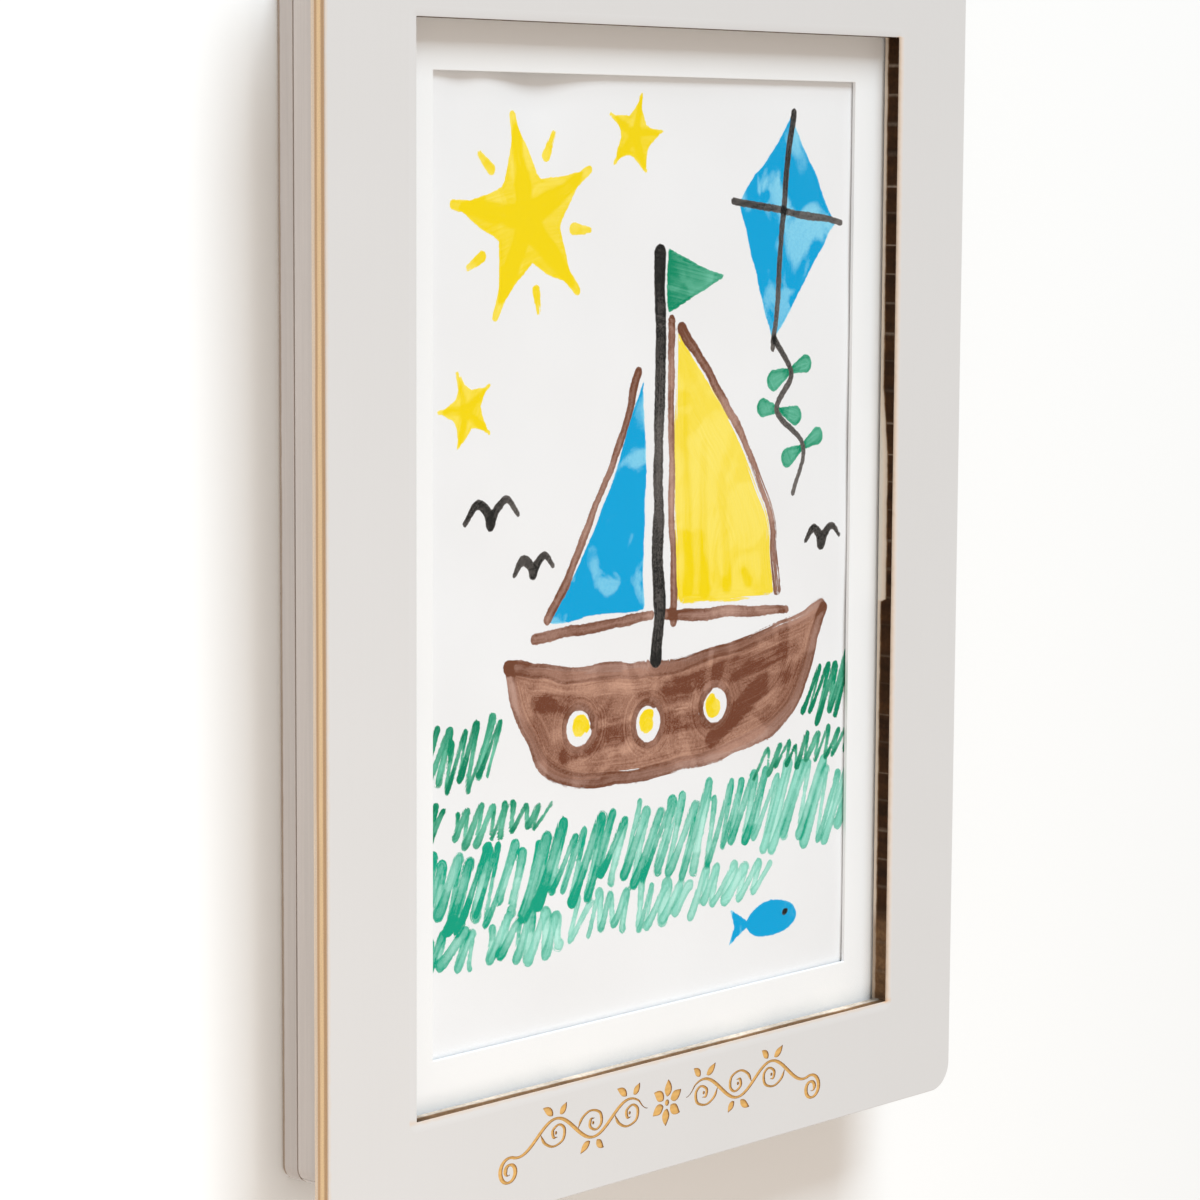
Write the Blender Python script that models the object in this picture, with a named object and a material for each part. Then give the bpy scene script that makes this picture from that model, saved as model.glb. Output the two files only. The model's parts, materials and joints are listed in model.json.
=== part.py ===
"""Wall frame for a child's painting, with a front cover that pulls off its storage box.

The box hangs flat on the wall: four mitred rails on a back panel. The front cover is a wider plywood plate
with a window. Behind the window it carries clear glazing, a mat, the painting and a backing board, which lie
between four fillets and are held by four turn buttons. Magnets in the plate and the rails hold the cover.

X runs right and Z up, seen from the front, and Y runs into the wall. The origin is the middle of the
face that lies on the wall, so the whole frame lies at negative Y.
"""

from math import acos, cos, pi, radians, sin, sqrt, tau

import bmesh
import bpy

# The sheet of paper on show, and how much of it the mat covers at each edge
PAINTING_WIDTH = 0.210
PAINTING_HEIGHT = 0.297
PAINTING_THICKNESS = 0.0003
PAINTING_WAVE = 0.0024
PAINTING_WAVES_ACROSS = 1.5
PAINTING_WAVES_UP = 2.5
MAT_LAP_X = 0.0095
MAT_LAP_Z = 0.005

# Front plate: the mat that its window shows, its border, and its thickness
MAT_SHOWN_X = 0.0135
MAT_SHOWN_Z = 0.0145
BORDER_WIDTH = 0.035
PLATE_THICKNESS = 0.0058
PLATE_CORNER_RADIUS = 0.009

# Storage box
PLATE_OVERHANG = 0.015
RAIL_THICKNESS = 0.010
RAIL_DEPTH = 0.0229
PANEL_THICKNESS = 0.006
BOX_CORNER_RADIUS = 0.005
MITRE_GAP = 0.0003

# Gaps between pieces
SEAT_GAP = 0.0003
SHEET_GAP = 0.0002
COVER_CLEARANCE = 0.0005

# Sheets behind the window
FILLET_WIDTH = 0.0062
GLAZING_THICKNESS = 0.0008
MAT_THICKNESS = 0.0012
BACKING_THICKNESS = 0.002

# Turn buttons and their screws
BUTTON_THICKNESS = 0.001
BUTTON_PIVOT_RADIUS = 0.0029
BUTTON_TIP_RADIUS = 0.0022
BUTTON_REACH = 0.013
BUTTON_HEAD_RADIUS = 0.0022
BUTTON_HEAD_HEIGHT = 0.0014
BUTTON_SHANK_RADIUS = 0.001
BUTTON_SCREW_LENGTH = 0.0075
SCREW_TIP_LENGTH = 0.0015

# Magnets
MAGNET_RADIUS = 0.003
MAGNET_THICKNESS = 0.002
MAGNET_EDGE = 0.0003
MAGNET_INSET_X = 0.024

# Screws through the back panel into the rails
PANEL_HEAD_RADIUS = 0.003
PANEL_HEAD_HEIGHT = 0.0018
PANEL_SHANK_RADIUS = 0.0014
PANEL_SCREW_LENGTH = 0.016
PANEL_SCREW_SPAN_X = 0.140
PANEL_SCREW_SPAN_Z = 0.220
FLUSH_DEPTH = 0.0003

# Keyhole hangers let into the back panel
HANGER_WIDTH = 0.017
HANGER_HEIGHT = 0.042
HANGER_THICKNESS = 0.0015
HANGER_SPAN_X = 0.150
HANGER_DROP = 0.040
KEYHOLE_RADIUS = 0.0046
SLOT_HALF_WIDTH = 0.0023
SLOT_RISE = 0.009
KEYHOLE_DROP = 0.003
WELL_MARGIN = 0.001
HANGER_SCREW_SPAN = 0.032
HANGER_HEAD_RADIUS = 0.0024
HANGER_HEAD_HEIGHT = 0.0012
HANGER_SHANK_RADIUS = 0.0011
HANGER_SCREW_LENGTH = 0.0052

# How far a cutter reaches past the face that it opens
CUT_OVERRUN = 0.002

# Counts of straight steps in round shapes
CORNER_STEPS = 8
ROUND_STEPS = 20
SCREW_STEPS = 16
PAINTING_STEPS_ACROSS = 14
PAINTING_STEPS_UP = 20

# Plate and box seen from the front, each worked out from what lies inside it
MAT_OPENING_WIDTH = PAINTING_WIDTH - 2 * MAT_LAP_X
MAT_OPENING_HEIGHT = PAINTING_HEIGHT - 2 * MAT_LAP_Z
WINDOW_WIDTH = MAT_OPENING_WIDTH + 2 * MAT_SHOWN_X
WINDOW_HEIGHT = MAT_OPENING_HEIGHT + 2 * MAT_SHOWN_Z
PLATE_WIDTH = WINDOW_WIDTH + 2 * BORDER_WIDTH
PLATE_HEIGHT = WINDOW_HEIGHT + 2 * BORDER_WIDTH
BOX_WIDTH = PLATE_WIDTH - 2 * PLATE_OVERHANG
BOX_HEIGHT = PLATE_HEIGHT - 2 * PLATE_OVERHANG
CAVITY_WIDTH = BOX_WIDTH - 2 * RAIL_THICKNESS
CAVITY_HEIGHT = BOX_HEIGHT - 2 * RAIL_THICKNESS
FILLET_FRAME_WIDTH = CAVITY_WIDTH - 2 * COVER_CLEARANCE
FILLET_FRAME_HEIGHT = CAVITY_HEIGHT - 2 * COVER_CLEARANCE
SHEET_WIDTH = FILLET_FRAME_WIDTH - 2 * (FILLET_WIDTH + SEAT_GAP)
SHEET_HEIGHT = FILLET_FRAME_HEIGHT - 2 * (FILLET_WIDTH + SEAT_GAP)

# Faces along Y, from the wall to the front
PANEL_FRONT = -PANEL_THICKNESS
RAIL_BACK = PANEL_FRONT - SEAT_GAP
RAIL_FRONT = RAIL_BACK - RAIL_DEPTH
PLATE_BACK = RAIL_FRONT - SEAT_GAP
PLATE_FRONT = PLATE_BACK - PLATE_THICKNESS

# Faces of the sheets, from the plate back towards the wall
GLAZING_FRONT = PLATE_BACK + SHEET_GAP
MAT_FRONT = GLAZING_FRONT + GLAZING_THICKNESS + SHEET_GAP
PAINTING_FRONT = MAT_FRONT + MAT_THICKNESS + SHEET_GAP
BACKING_FRONT = PAINTING_FRONT + PAINTING_WAVE + PAINTING_THICKNESS + SHEET_GAP
BACKING_BACK = BACKING_FRONT + BACKING_THICKNESS
FILLET_FRONT = PLATE_BACK + SHEET_GAP
FILLET_DEPTH = BACKING_BACK - FILLET_FRONT
BUTTON_FRONT = BACKING_BACK + SEAT_GAP
BUTTON_BACK = BUTTON_FRONT + BUTTON_THICKNESS

# Middle lines of the rails and of the fillets, from the middle of the frame
RAIL_MIDDLE_X = (BOX_WIDTH - RAIL_THICKNESS) / 2
RAIL_MIDDLE_Z = (BOX_HEIGHT - RAIL_THICKNESS) / 2
FILLET_MIDDLE_X = (FILLET_FRAME_WIDTH - FILLET_WIDTH) / 2
FILLET_MIDDLE_Z = (FILLET_FRAME_HEIGHT - FILLET_WIDTH) / 2
HANGER_MIDDLE_Z = BOX_HEIGHT / 2 - HANGER_DROP

# The four sides: name, turn about Y that takes the top side there, and the direction of that side
SIDES = (
    ("top", 0, (0, 1)),
    ("right", pi / 2, (1, 0)),
    ("bottom", pi, (0, -1)),
    ("left", -pi / 2, (-1, 0)),
)


def clear_scene():
    """Empties the scene, so that a second run gives the same result."""
    for item in list(bpy.data.objects):
        bpy.data.objects.remove(item, do_unlink=True)


def finish(name, colour, roughness, metallic=0.0, alpha=1.0):
    """A material of one Principled BSDF."""
    material = bpy.data.materials.new(name)
    material.use_nodes = True
    shader = material.node_tree.nodes["Principled BSDF"]
    shader.inputs["Base Color"].default_value = (*colour, 1.0)
    shader.inputs["Roughness"].default_value = roughness
    shader.inputs["Metallic"].default_value = metallic
    shader.inputs["Alpha"].default_value = alpha
    return material


def mesh_object(name, work, material, place=(0, 0, 0), turn=0, smooth=False):
    """Puts a bmesh into a new object, with its faces pointing out, at a place and turned about Y."""
    bmesh.ops.recalc_face_normals(work, faces=work.faces)
    mesh = bpy.data.meshes.new(name)
    work.to_mesh(mesh)
    work.free()
    if smooth:
        mesh.shade_smooth()
        mesh.set_sharp_from_angle(angle=radians(35))
    piece = bpy.data.objects.new(name, mesh)
    bpy.context.scene.collection.objects.link(piece)
    if material:
        mesh.materials.append(material)
    piece.location = place
    piece.rotation_euler = (0, turn, 0)
    return piece


def arc(centre, radius, start, end, steps):
    """Points of a circular arc in the XZ plane, both ends included."""
    angles = [start + (end - start) * step / steps for step in range(steps + 1)]
    return [(centre[0] + radius * cos(a), centre[1] + radius * sin(a)) for a in angles]


def rectangle(width, height):
    """Corners of a rectangle about the middle."""
    x, z = width / 2, height / 2
    return [(-x, -z), (x, -z), (x, z), (-x, z)]


def rounded_rectangle(width, height, radius):
    """Outline of a rectangle about the middle, with an arc at each corner."""
    x = width / 2 - radius
    z = height / 2 - radius
    quarter = pi / 2
    centres = ((x, -z), (x, z), (-x, z), (-x, -z))
    points = []
    for index, centre in enumerate(centres):
        start = (index - 1) * quarter
        points += arc(centre, radius, start, start + quarter, CORNER_STEPS)
    return points


def stadium(width, height, middle_z=0):
    """Upright outline with straight sides and round ends."""
    radius = width / 2
    reach = height / 2 - radius
    half_round = ROUND_STEPS // 2
    top = arc((0, middle_z + reach), radius, 0, pi, half_round)
    bottom = arc((0, middle_z - reach), radius, pi, tau, half_round)
    return top + bottom


def slab(name, outline, thickness, material, place=(0, 0, 0), turn=0, smooth=False):
    """A flat piece: an outline in XZ carried back along Y by its thickness."""
    work = bmesh.new()
    front = [work.verts.new((x, 0, z)) for x, z in outline]
    face = work.faces.new(front)
    back = bmesh.ops.extrude_face_region(work, geom=[face])["geom"]
    moved = [item for item in back if isinstance(item, bmesh.types.BMVert)]
    bmesh.ops.translate(work, verts=moved, vec=(0, thickness, 0))
    return mesh_object(name, work, material, place, turn, smooth)


def turned(name, profile, centres, material=None):
    """Round solids on axes along Y: a profile of (radius, y) turned about each centre in XZ."""
    work = bmesh.new()
    for x, z in centres:
        rings = [
            [work.verts.new((x + px, y, z + pz)) for px, pz in arc((0, 0), r, 0, tau, SCREW_STEPS)[:-1]]
            for r, y in profile
        ]
        work.faces.new(rings[0])
        work.faces.new(rings[-1])
        for near, far in zip(rings, rings[1:]):
            for index in range(SCREW_STEPS):
                after = (index + 1) % SCREW_STEPS
                work.faces.new((near[index], near[after], far[after], far[index]))
    return mesh_object(name, work, material, smooth=True)


def turned_pieces(prefix, profile, places, material):
    """One round solid at each named place, all alike."""
    return [turned(prefix + where, profile, [centre], material) for where, centre in places.items()]


def cut(piece, cutter):
    """Takes a hidden cutter's shape out of a piece."""
    cutter.hide_render = True
    cutter.display_type = "WIRE"
    boolean = piece.modifiers.new(cutter.name, "BOOLEAN")
    boolean.operation = "DIFFERENCE"
    boolean.solver = "EXACT"
    boolean.object = cutter


def group(name, place=(0, 0, 0)):
    """An empty that carries the pieces of one moving body."""
    empty = bpy.data.objects.new(name, None)
    bpy.context.scene.collection.objects.link(empty)
    empty.location = place
    return empty


def carry(empty, pieces):
    """Parents pieces to an empty and keeps them where they are."""
    for piece in pieces:
        piece.parent = empty
        piece.location = [here - start for here, start in zip(piece.location, empty.location)]


def corner_places(x, z, middle_z=0):
    """Four places at the corners of a rectangle, each under the name of its corner."""
    return {
        "top_left": (-x, middle_z + z),
        "top_right": (x, middle_z + z),
        "bottom_left": (-x, middle_z - z),
        "bottom_right": (x, middle_z - z),
    }


def magnet_places():
    """The magnets sit in the top and bottom rails near their ends."""
    return corner_places(BOX_WIDTH / 2 - MAGNET_INSET_X, RAIL_MIDDLE_Z)


def panel_screw_places():
    """Two screws into each rail, named by the rail and then by the corner they are nearest."""
    ends = corner_places(PANEL_SCREW_SPAN_X / 2, RAIL_MIDDLE_Z)
    sides = corner_places(RAIL_MIDDLE_X, PANEL_SCREW_SPAN_Z / 2)
    places = {"end_" + corner: place for corner, place in ends.items()}
    places.update({"side_" + corner: place for corner, place in sides.items()})
    return places


def hanger_screw_places():
    """One screw at the top and one at the bottom of each hanger."""
    return corner_places(HANGER_SPAN_X / 2, HANGER_SCREW_SPAN / 2, HANGER_MIDDLE_Z)


def button_places():
    """The pivots of the turn buttons, one in the middle of each fillet."""
    return {side: (dx * FILLET_MIDDLE_X, dz * FILLET_MIDDLE_Z) for side, _, (dx, dz) in SIDES}


def countersunk(head_radius, head_height, shank_radius, length):
    """Profile of a countersunk screw that goes in from the wall side, with its head sunk below the face."""
    head = -FLUSH_DEPTH
    tip = head - length
    tip_radius = shank_radius / 3
    return [(head_radius, head), (shank_radius, head - head_height),
            (shank_radius, tip + SCREW_TIP_LENGTH), (tip_radius, tip)]


def countersunk_hole(head_radius, head_height, shank_radius, length):
    """Profile of the hole that clears such a screw all round, open at the wall side."""
    head = -FLUSH_DEPTH
    return [(head_radius + SEAT_GAP, CUT_OVERRUN), (head_radius + SEAT_GAP, head),
            (shank_radius + SEAT_GAP, head - head_height), (shank_radius + SEAT_GAP, head - length - SEAT_GAP)]


PANEL_SCREW = (PANEL_HEAD_RADIUS, PANEL_HEAD_HEIGHT, PANEL_SHANK_RADIUS, PANEL_SCREW_LENGTH)
HANGER_SCREW = (HANGER_HEAD_RADIUS, HANGER_HEAD_HEIGHT, HANGER_SHANK_RADIUS, HANGER_SCREW_LENGTH)


def disc_profile(radius, front, back, edge):
    """Profile of a disc between two planes, with a small chamfer at both rims."""
    return [(radius - edge, front), (radius, front + edge), (radius, back - edge), (radius - edge, back)]


def make_front_plate(material):
    """Rounded plywood plate with the square-cornered window and blind magnet pockets in its back."""
    outline = rounded_rectangle(PLATE_WIDTH, PLATE_HEIGHT, PLATE_CORNER_RADIUS)
    plate = slab("front_plate", outline, PLATE_THICKNESS, material, (0, PLATE_FRONT, 0))
    window_depth = PLATE_THICKNESS + 2 * CUT_OVERRUN
    window_front = PLATE_FRONT - CUT_OVERRUN
    cut(plate, slab("window_cutter", rectangle(WINDOW_WIDTH, WINDOW_HEIGHT), window_depth, None,
                    (0, window_front, 0)))
    bottom = PLATE_BACK - MAGNET_THICKNESS - SEAT_GAP
    pocket = disc_profile(MAGNET_RADIUS + SEAT_GAP, bottom, PLATE_BACK + CUT_OVERRUN, 0)
    cut(plate, turned("plate_magnet_cutter", [pocket[0], pocket[-1]], magnet_places().values()))
    return plate


def rail_outline(length):
    """A rail lying along X with its outer edge up: mitred ends, and half of each rounded corner."""
    radius = BOX_CORNER_RADIUS
    mitre_shift = MITRE_GAP / 2 * sqrt(2)
    x = length / 2 - radius - mitre_shift
    z = RAIL_THICKNESS / 2 - radius
    inner_x = length / 2 - RAIL_THICKNESS - mitre_shift
    inner = [(-inner_x, -RAIL_THICKNESS / 2), (inner_x, -RAIL_THICKNESS / 2)]
    half_corner = CORNER_STEPS // 2
    right = arc((x, z), radius, pi / 4, pi / 2, half_corner)
    left = arc((-x, z), radius, pi / 2, pi * 3 / 4, half_corner)
    return inner + right + left


def make_rails(material):
    """The four mitred rails, with magnet pockets in front and pilot holes behind."""
    pocket_back = RAIL_FRONT + MAGNET_THICKNESS + SEAT_GAP
    pocket = [(MAGNET_RADIUS + SEAT_GAP, RAIL_FRONT - CUT_OVERRUN), (MAGNET_RADIUS + SEAT_GAP, pocket_back)]
    magnet_cutter = turned("rail_magnet_cutter", pocket, magnet_places().values())
    screw_hole = countersunk_hole(*PANEL_SCREW)
    screw_cutter = turned("rail_screw_cutter", screw_hole, panel_screw_places().values())
    rails = []
    for side, turn, (dx, dz) in SIDES:
        length = BOX_WIDTH if dz else BOX_HEIGHT
        place = (dx * RAIL_MIDDLE_X, RAIL_FRONT, dz * RAIL_MIDDLE_Z)
        rail = slab("rail_" + side, rail_outline(length), RAIL_DEPTH, material, place, turn)
        if dz:
            cut(rail, magnet_cutter)
        cut(rail, screw_cutter)
        rails.append(rail)
    return rails


def make_magnets(prefix, front, back, material):
    """Four disc magnets between two planes."""
    profile = disc_profile(MAGNET_RADIUS, front, back, MAGNET_EDGE)
    return turned_pieces(prefix, profile, magnet_places(), material)


def keyhole_outline(grow=0):
    """A round entry with a narrower slot rising from it, about the middle of a hanger."""
    radius = KEYHOLE_RADIUS + grow
    half_width = SLOT_HALF_WIDTH + grow
    entry_z = -KEYHOLE_DROP
    meet = acos(half_width / radius)
    slot_top = arc((0, entry_z + SLOT_RISE), half_width, 0, pi, ROUND_STEPS // 2)
    entry = arc((0, entry_z), radius, pi - meet, tau + meet, ROUND_STEPS)
    return slot_top + entry


def make_hangers(material):
    """Two keyhole plates let in flush behind the top of the back panel."""
    hangers = []
    screw_hole = countersunk_hole(*HANGER_SCREW)
    screw_cutter = turned("hanger_screw_cutter", screw_hole, hanger_screw_places().values())
    for side, sign in (("left", -1), ("right", 1)):
        place = (sign * HANGER_SPAN_X / 2, -FLUSH_DEPTH - HANGER_THICKNESS, HANGER_MIDDLE_Z)
        hanger = slab("keyhole_hanger_" + side, stadium(HANGER_WIDTH, HANGER_HEIGHT), HANGER_THICKNESS,
                      material, place)
        depth = HANGER_THICKNESS + 2 * CUT_OVERRUN
        front = (place[0], place[1] - CUT_OVERRUN, place[2])
        cut(hanger, slab("keyhole_cutter_" + side, keyhole_outline(), depth, None, front))
        cut(hanger, screw_cutter)
        hangers.append(hanger)
    return hangers


def make_back_panel(material):
    """Rounded back panel with hanger recesses, wells for the wall screws and screw holes."""
    outline = rounded_rectangle(BOX_WIDTH, BOX_HEIGHT, BOX_CORNER_RADIUS)
    panel = slab("back_panel", outline, PANEL_THICKNESS, material, (0, PANEL_FRONT, 0))
    recess_depth = FLUSH_DEPTH + HANGER_THICKNESS + SEAT_GAP
    recess = stadium(HANGER_WIDTH + 2 * SEAT_GAP, HANGER_HEIGHT + 2 * SEAT_GAP)
    for side, sign in (("left", -1), ("right", 1)):
        x = sign * HANGER_SPAN_X / 2
        cut(panel, slab("recess_cutter_" + side, recess, recess_depth + CUT_OVERRUN, None,
                        (x, -recess_depth, HANGER_MIDDLE_Z)))
        cut(panel, slab("well_cutter_" + side, keyhole_well(), PANEL_THICKNESS + 2 * CUT_OVERRUN, None,
                        (x, PANEL_FRONT - CUT_OVERRUN, HANGER_MIDDLE_Z)))
    panel_hole = countersunk_hole(*PANEL_SCREW)
    cut(panel, turned("panel_screw_cutter", panel_hole, panel_screw_places().values()))
    hanger_hole = countersunk_hole(*HANGER_SCREW)
    cut(panel, turned("panel_hanger_screw_cutter", hanger_hole, hanger_screw_places().values()))
    return panel


def keyhole_well():
    """The hole behind a keyhole that lets the head of a wall screw rise in the slot."""
    width = 2 * (KEYHOLE_RADIUS + WELL_MARGIN)
    height = SLOT_RISE + width
    return stadium(width, height, SLOT_RISE / 2 - KEYHOLE_DROP)


def make_fillets(material):
    """Four strips round the sheets: the top and bottom ones run through, the sides stand between them."""
    screw_hole = [(BUTTON_SHANK_RADIUS + SEAT_GAP, BACKING_BACK + CUT_OVERRUN),
                  (BUTTON_SHANK_RADIUS + SEAT_GAP, BUTTON_BACK + SEAT_GAP - BUTTON_SCREW_LENGTH - SEAT_GAP)]
    screw_cutter = turned("fillet_screw_cutter", screw_hole, button_places().values())
    side_length = FILLET_FRAME_HEIGHT - 2 * (FILLET_WIDTH + SEAT_GAP)
    fillets = []
    for side, turn, (dx, dz) in SIDES:
        length = FILLET_FRAME_WIDTH if dz else side_length
        place = (dx * FILLET_MIDDLE_X, FILLET_FRONT, dz * FILLET_MIDDLE_Z)
        fillet = slab("fillet_" + side, rectangle(length, FILLET_WIDTH), FILLET_DEPTH, material, place, turn)
        cut(fillet, screw_cutter)
        fillets.append(fillet)
    return fillets


def make_mat(material):
    """White card with a square-cut opening."""
    mat = slab("mat_board", rectangle(SHEET_WIDTH, SHEET_HEIGHT), MAT_THICKNESS, material, (0, MAT_FRONT, 0))
    depth = MAT_THICKNESS + 2 * CUT_OVERRUN
    place = (0, MAT_FRONT - CUT_OVERRUN, 0)
    cut(mat, slab("mat_cutter", rectangle(MAT_OPENING_WIDTH, MAT_OPENING_HEIGHT), depth, None, place))
    return mat


def wave_share(across, up):
    """How far the sheet bows back, from 0 to 1, at shares of its width and height."""
    sideways = sin(tau * PAINTING_WAVES_ACROSS * across)
    upright = sin(tau * PAINTING_WAVES_UP * up)
    return (2 + sideways + upright) / 4


def make_painting(material):
    """A sheet of paper that waves gently between the mat and the backing board."""
    work = bmesh.new()
    layers = []
    for offset in (0, PAINTING_THICKNESS):
        rows = []
        for j in range(PAINTING_STEPS_UP + 1):
            up = j / PAINTING_STEPS_UP
            row = []
            for i in range(PAINTING_STEPS_ACROSS + 1):
                across = i / PAINTING_STEPS_ACROSS
                y = PAINTING_FRONT + PAINTING_WAVE * wave_share(across, up) + offset
                x = PAINTING_WIDTH * (across - 1 / 2)
                z = PAINTING_HEIGHT * (up - 1 / 2)
                row.append(work.verts.new((x, y, z)))
            rows.append(row)
        layers.append(rows)
    for rows in layers:
        for low, high in zip(rows, rows[1:]):
            for i in range(PAINTING_STEPS_ACROSS):
                work.faces.new((low[i], low[i + 1], high[i + 1], high[i]))
    front, back = [sheet_rim(rows) for rows in layers]
    for index in range(len(front)):
        after = (index + 1) % len(front)
        work.faces.new((front[index], front[after], back[after], back[index]))
    return mesh_object("painting_sheet", work, material, smooth=True)


def sheet_rim(rows):
    """The outer points of a grid, in order round it."""
    right = [row[-1] for row in rows[1:-1]]
    left = [row[0] for row in reversed(rows[1:-1])]
    return rows[0] + right + rows[-1][::-1] + left


def make_button_screws(material):
    """Pan-head screws that the turn buttons pivot on."""
    seat = BUTTON_BACK + SEAT_GAP
    tip = seat - BUTTON_SCREW_LENGTH
    profile = [(BUTTON_SHANK_RADIUS / 3, tip), (BUTTON_SHANK_RADIUS, tip + SCREW_TIP_LENGTH),
               (BUTTON_SHANK_RADIUS, seat), (BUTTON_HEAD_RADIUS, seat),
               (BUTTON_HEAD_RADIUS, seat + BUTTON_HEAD_HEIGHT / 2),
               (BUTTON_HEAD_RADIUS * 2 / 3, seat + BUTTON_HEAD_HEIGHT)]
    return turned_pieces("turn_button_screw_", profile, button_places(), material)


def make_turn_button(side, turn, pivot_place, material):
    """A flat tapered button about its pivot, pointing to the middle of the frame."""
    lean = acos((BUTTON_PIVOT_RADIUS - BUTTON_TIP_RADIUS) / (BUTTON_REACH - BUTTON_TIP_RADIUS))
    down = -pi / 2
    half_round = ROUND_STEPS // 2
    tip = arc((0, BUTTON_TIP_RADIUS - BUTTON_REACH), BUTTON_TIP_RADIUS, down - lean, down + lean, half_round)
    pivot = arc((0, 0), BUTTON_PIVOT_RADIUS, down + lean, down - lean + tau, half_round)
    place = (pivot_place[0], BUTTON_FRONT, pivot_place[1])
    button = slab("turn_button_" + side, tip + pivot, BUTTON_THICKNESS, material, place, turn)
    bore = [(BUTTON_SHANK_RADIUS + SEAT_GAP, BUTTON_FRONT - CUT_OVERRUN),
            (BUTTON_SHANK_RADIUS + SEAT_GAP, BUTTON_BACK + CUT_OVERRUN)]
    cut(button, turned("button_cutter_" + side, bore, [pivot_place]))
    return button


def build():
    """Makes every piece and gathers the pieces that move together."""
    clear_scene()
    painted = finish("painted_plywood", (0.70, 0.69, 0.67), 0.55)
    grey_rail = finish("painted_rail", (0.55, 0.52, 0.48), 0.6)
    clear = finish("clear_acrylic", (1.0, 1.0, 1.0), 0.05, alpha=0.15)
    card = finish("white_card", (0.88, 0.88, 0.87), 0.8)
    paper = finish("paper", (0.84, 0.84, 0.83), 0.85)
    board = finish("grey_board", (0.35, 0.29, 0.22), 0.9)
    bare_wood = finish("bare_wood", (0.66, 0.48, 0.28), 0.7)
    nickel = finish("nickel", (0.62, 0.60, 0.57), 0.25, metallic=1.0)
    zinc = finish("zinc_plated_steel", (0.55, 0.56, 0.58), 0.35, metallic=1.0)
    brass = finish("brass_plated_steel", (0.65, 0.48, 0.22), 0.35, metallic=1.0)

    box = group("wall_box")
    box_pieces = [make_back_panel(painted)] + make_rails(grey_rail) + make_hangers(zinc)
    box_pieces += make_magnets("box_magnet_", RAIL_FRONT, RAIL_FRONT + MAGNET_THICKNESS, nickel)
    box_pieces += turned_pieces("panel_screw_", countersunk(*PANEL_SCREW), panel_screw_places(), zinc)
    box_pieces += turned_pieces("hanger_screw_", countersunk(*HANGER_SCREW), hanger_screw_places(), zinc)
    carry(box, box_pieces)

    cover = group("front_cover", (0, PLATE_BACK, 0))
    sheet = rectangle(SHEET_WIDTH, SHEET_HEIGHT)
    cover_pieces = [make_front_plate(painted), make_mat(card), make_painting(paper)]
    cover_pieces.append(slab("glazing_sheet", sheet, GLAZING_THICKNESS, clear, (0, GLAZING_FRONT, 0)))
    cover_pieces.append(slab("backing_board", sheet, BACKING_THICKNESS, board, (0, BACKING_FRONT, 0)))
    cover_pieces += make_fillets(bare_wood)
    cover_pieces += make_magnets("cover_magnet_", PLATE_BACK - MAGNET_THICKNESS, PLATE_BACK, nickel)
    cover_pieces += make_button_screws(brass)
    pivots = button_places()
    cover_pieces += [make_turn_button(side, turn, pivots[side], brass) for side, turn, _ in SIDES]
    carry(cover, cover_pieces)


build()
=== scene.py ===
"""The finish of a wall frame that shows a child's painting, built round its packed parts.

The storage box hangs on the wall. The plywood cover carries clear glazing, a mat, the painted sheet and a
backing board, and pulls off the box. X runs right and Z up, seen from the front, and Y runs into the wall.
Every new piece keeps to the place and size of the part that it stands for, and rides on that part's body.
"""

import json
from math import radians

import bmesh
import bpy
import numpy as np
from bpy.props import FloatProperty, FloatVectorProperty, PointerProperty
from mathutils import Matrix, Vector


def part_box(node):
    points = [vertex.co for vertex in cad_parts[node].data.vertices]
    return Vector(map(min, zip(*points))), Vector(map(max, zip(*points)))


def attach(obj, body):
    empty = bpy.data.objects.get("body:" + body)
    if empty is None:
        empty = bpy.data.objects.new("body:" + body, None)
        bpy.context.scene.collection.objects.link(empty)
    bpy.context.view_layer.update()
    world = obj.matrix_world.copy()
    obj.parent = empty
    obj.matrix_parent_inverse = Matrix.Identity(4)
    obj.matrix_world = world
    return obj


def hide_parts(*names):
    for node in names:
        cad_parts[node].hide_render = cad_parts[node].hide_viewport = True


bl_info = {
    "name": "Art frame finish",
    "version": (1, 0, 0),
    "blender": (4, 5, 0),
    "location": "View3D > Sidebar > Art frame",
    "description": "Finishes a wall frame for a child's painting, from painted plywood to screws",
    "category": "Object",
}

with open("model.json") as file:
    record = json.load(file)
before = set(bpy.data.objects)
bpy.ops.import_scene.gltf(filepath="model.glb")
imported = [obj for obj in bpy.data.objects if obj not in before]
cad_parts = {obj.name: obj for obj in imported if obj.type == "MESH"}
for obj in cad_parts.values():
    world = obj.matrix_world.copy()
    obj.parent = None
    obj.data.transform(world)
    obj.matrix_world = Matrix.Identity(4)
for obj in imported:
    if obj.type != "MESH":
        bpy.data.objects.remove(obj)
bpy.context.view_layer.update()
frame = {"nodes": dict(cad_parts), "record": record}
NODE_BODY = {node: body for body, nodes in frame["record"]["behaviour"]["bodies"].items() for node in nodes}

# Corners of the parts that give the new pieces their places
PLATE_LOW, PLATE_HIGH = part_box("front_plate")
MAT_LOW, MAT_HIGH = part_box("mat_board")
SHEET_LOW, SHEET_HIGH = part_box("painting_sheet")

# Counts of straight steps in round shapes
CORNER_STEPS = 12
EDGE_STEPS = 3
TURNED_STEPS = 40
RIBBON_STEPS = 14

# The painted sheet's back has every eighth point of its front
BACK_EVERY = 8

# Points on each leg of a scribble
LEG_STEPS = 7

MM = 0.001

# How far a cutter reaches past the face that it opens, and half the width of the thinnest cut
OVERRUN = 1 * MM
LEAST_CUT = 0.05 * MM

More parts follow.
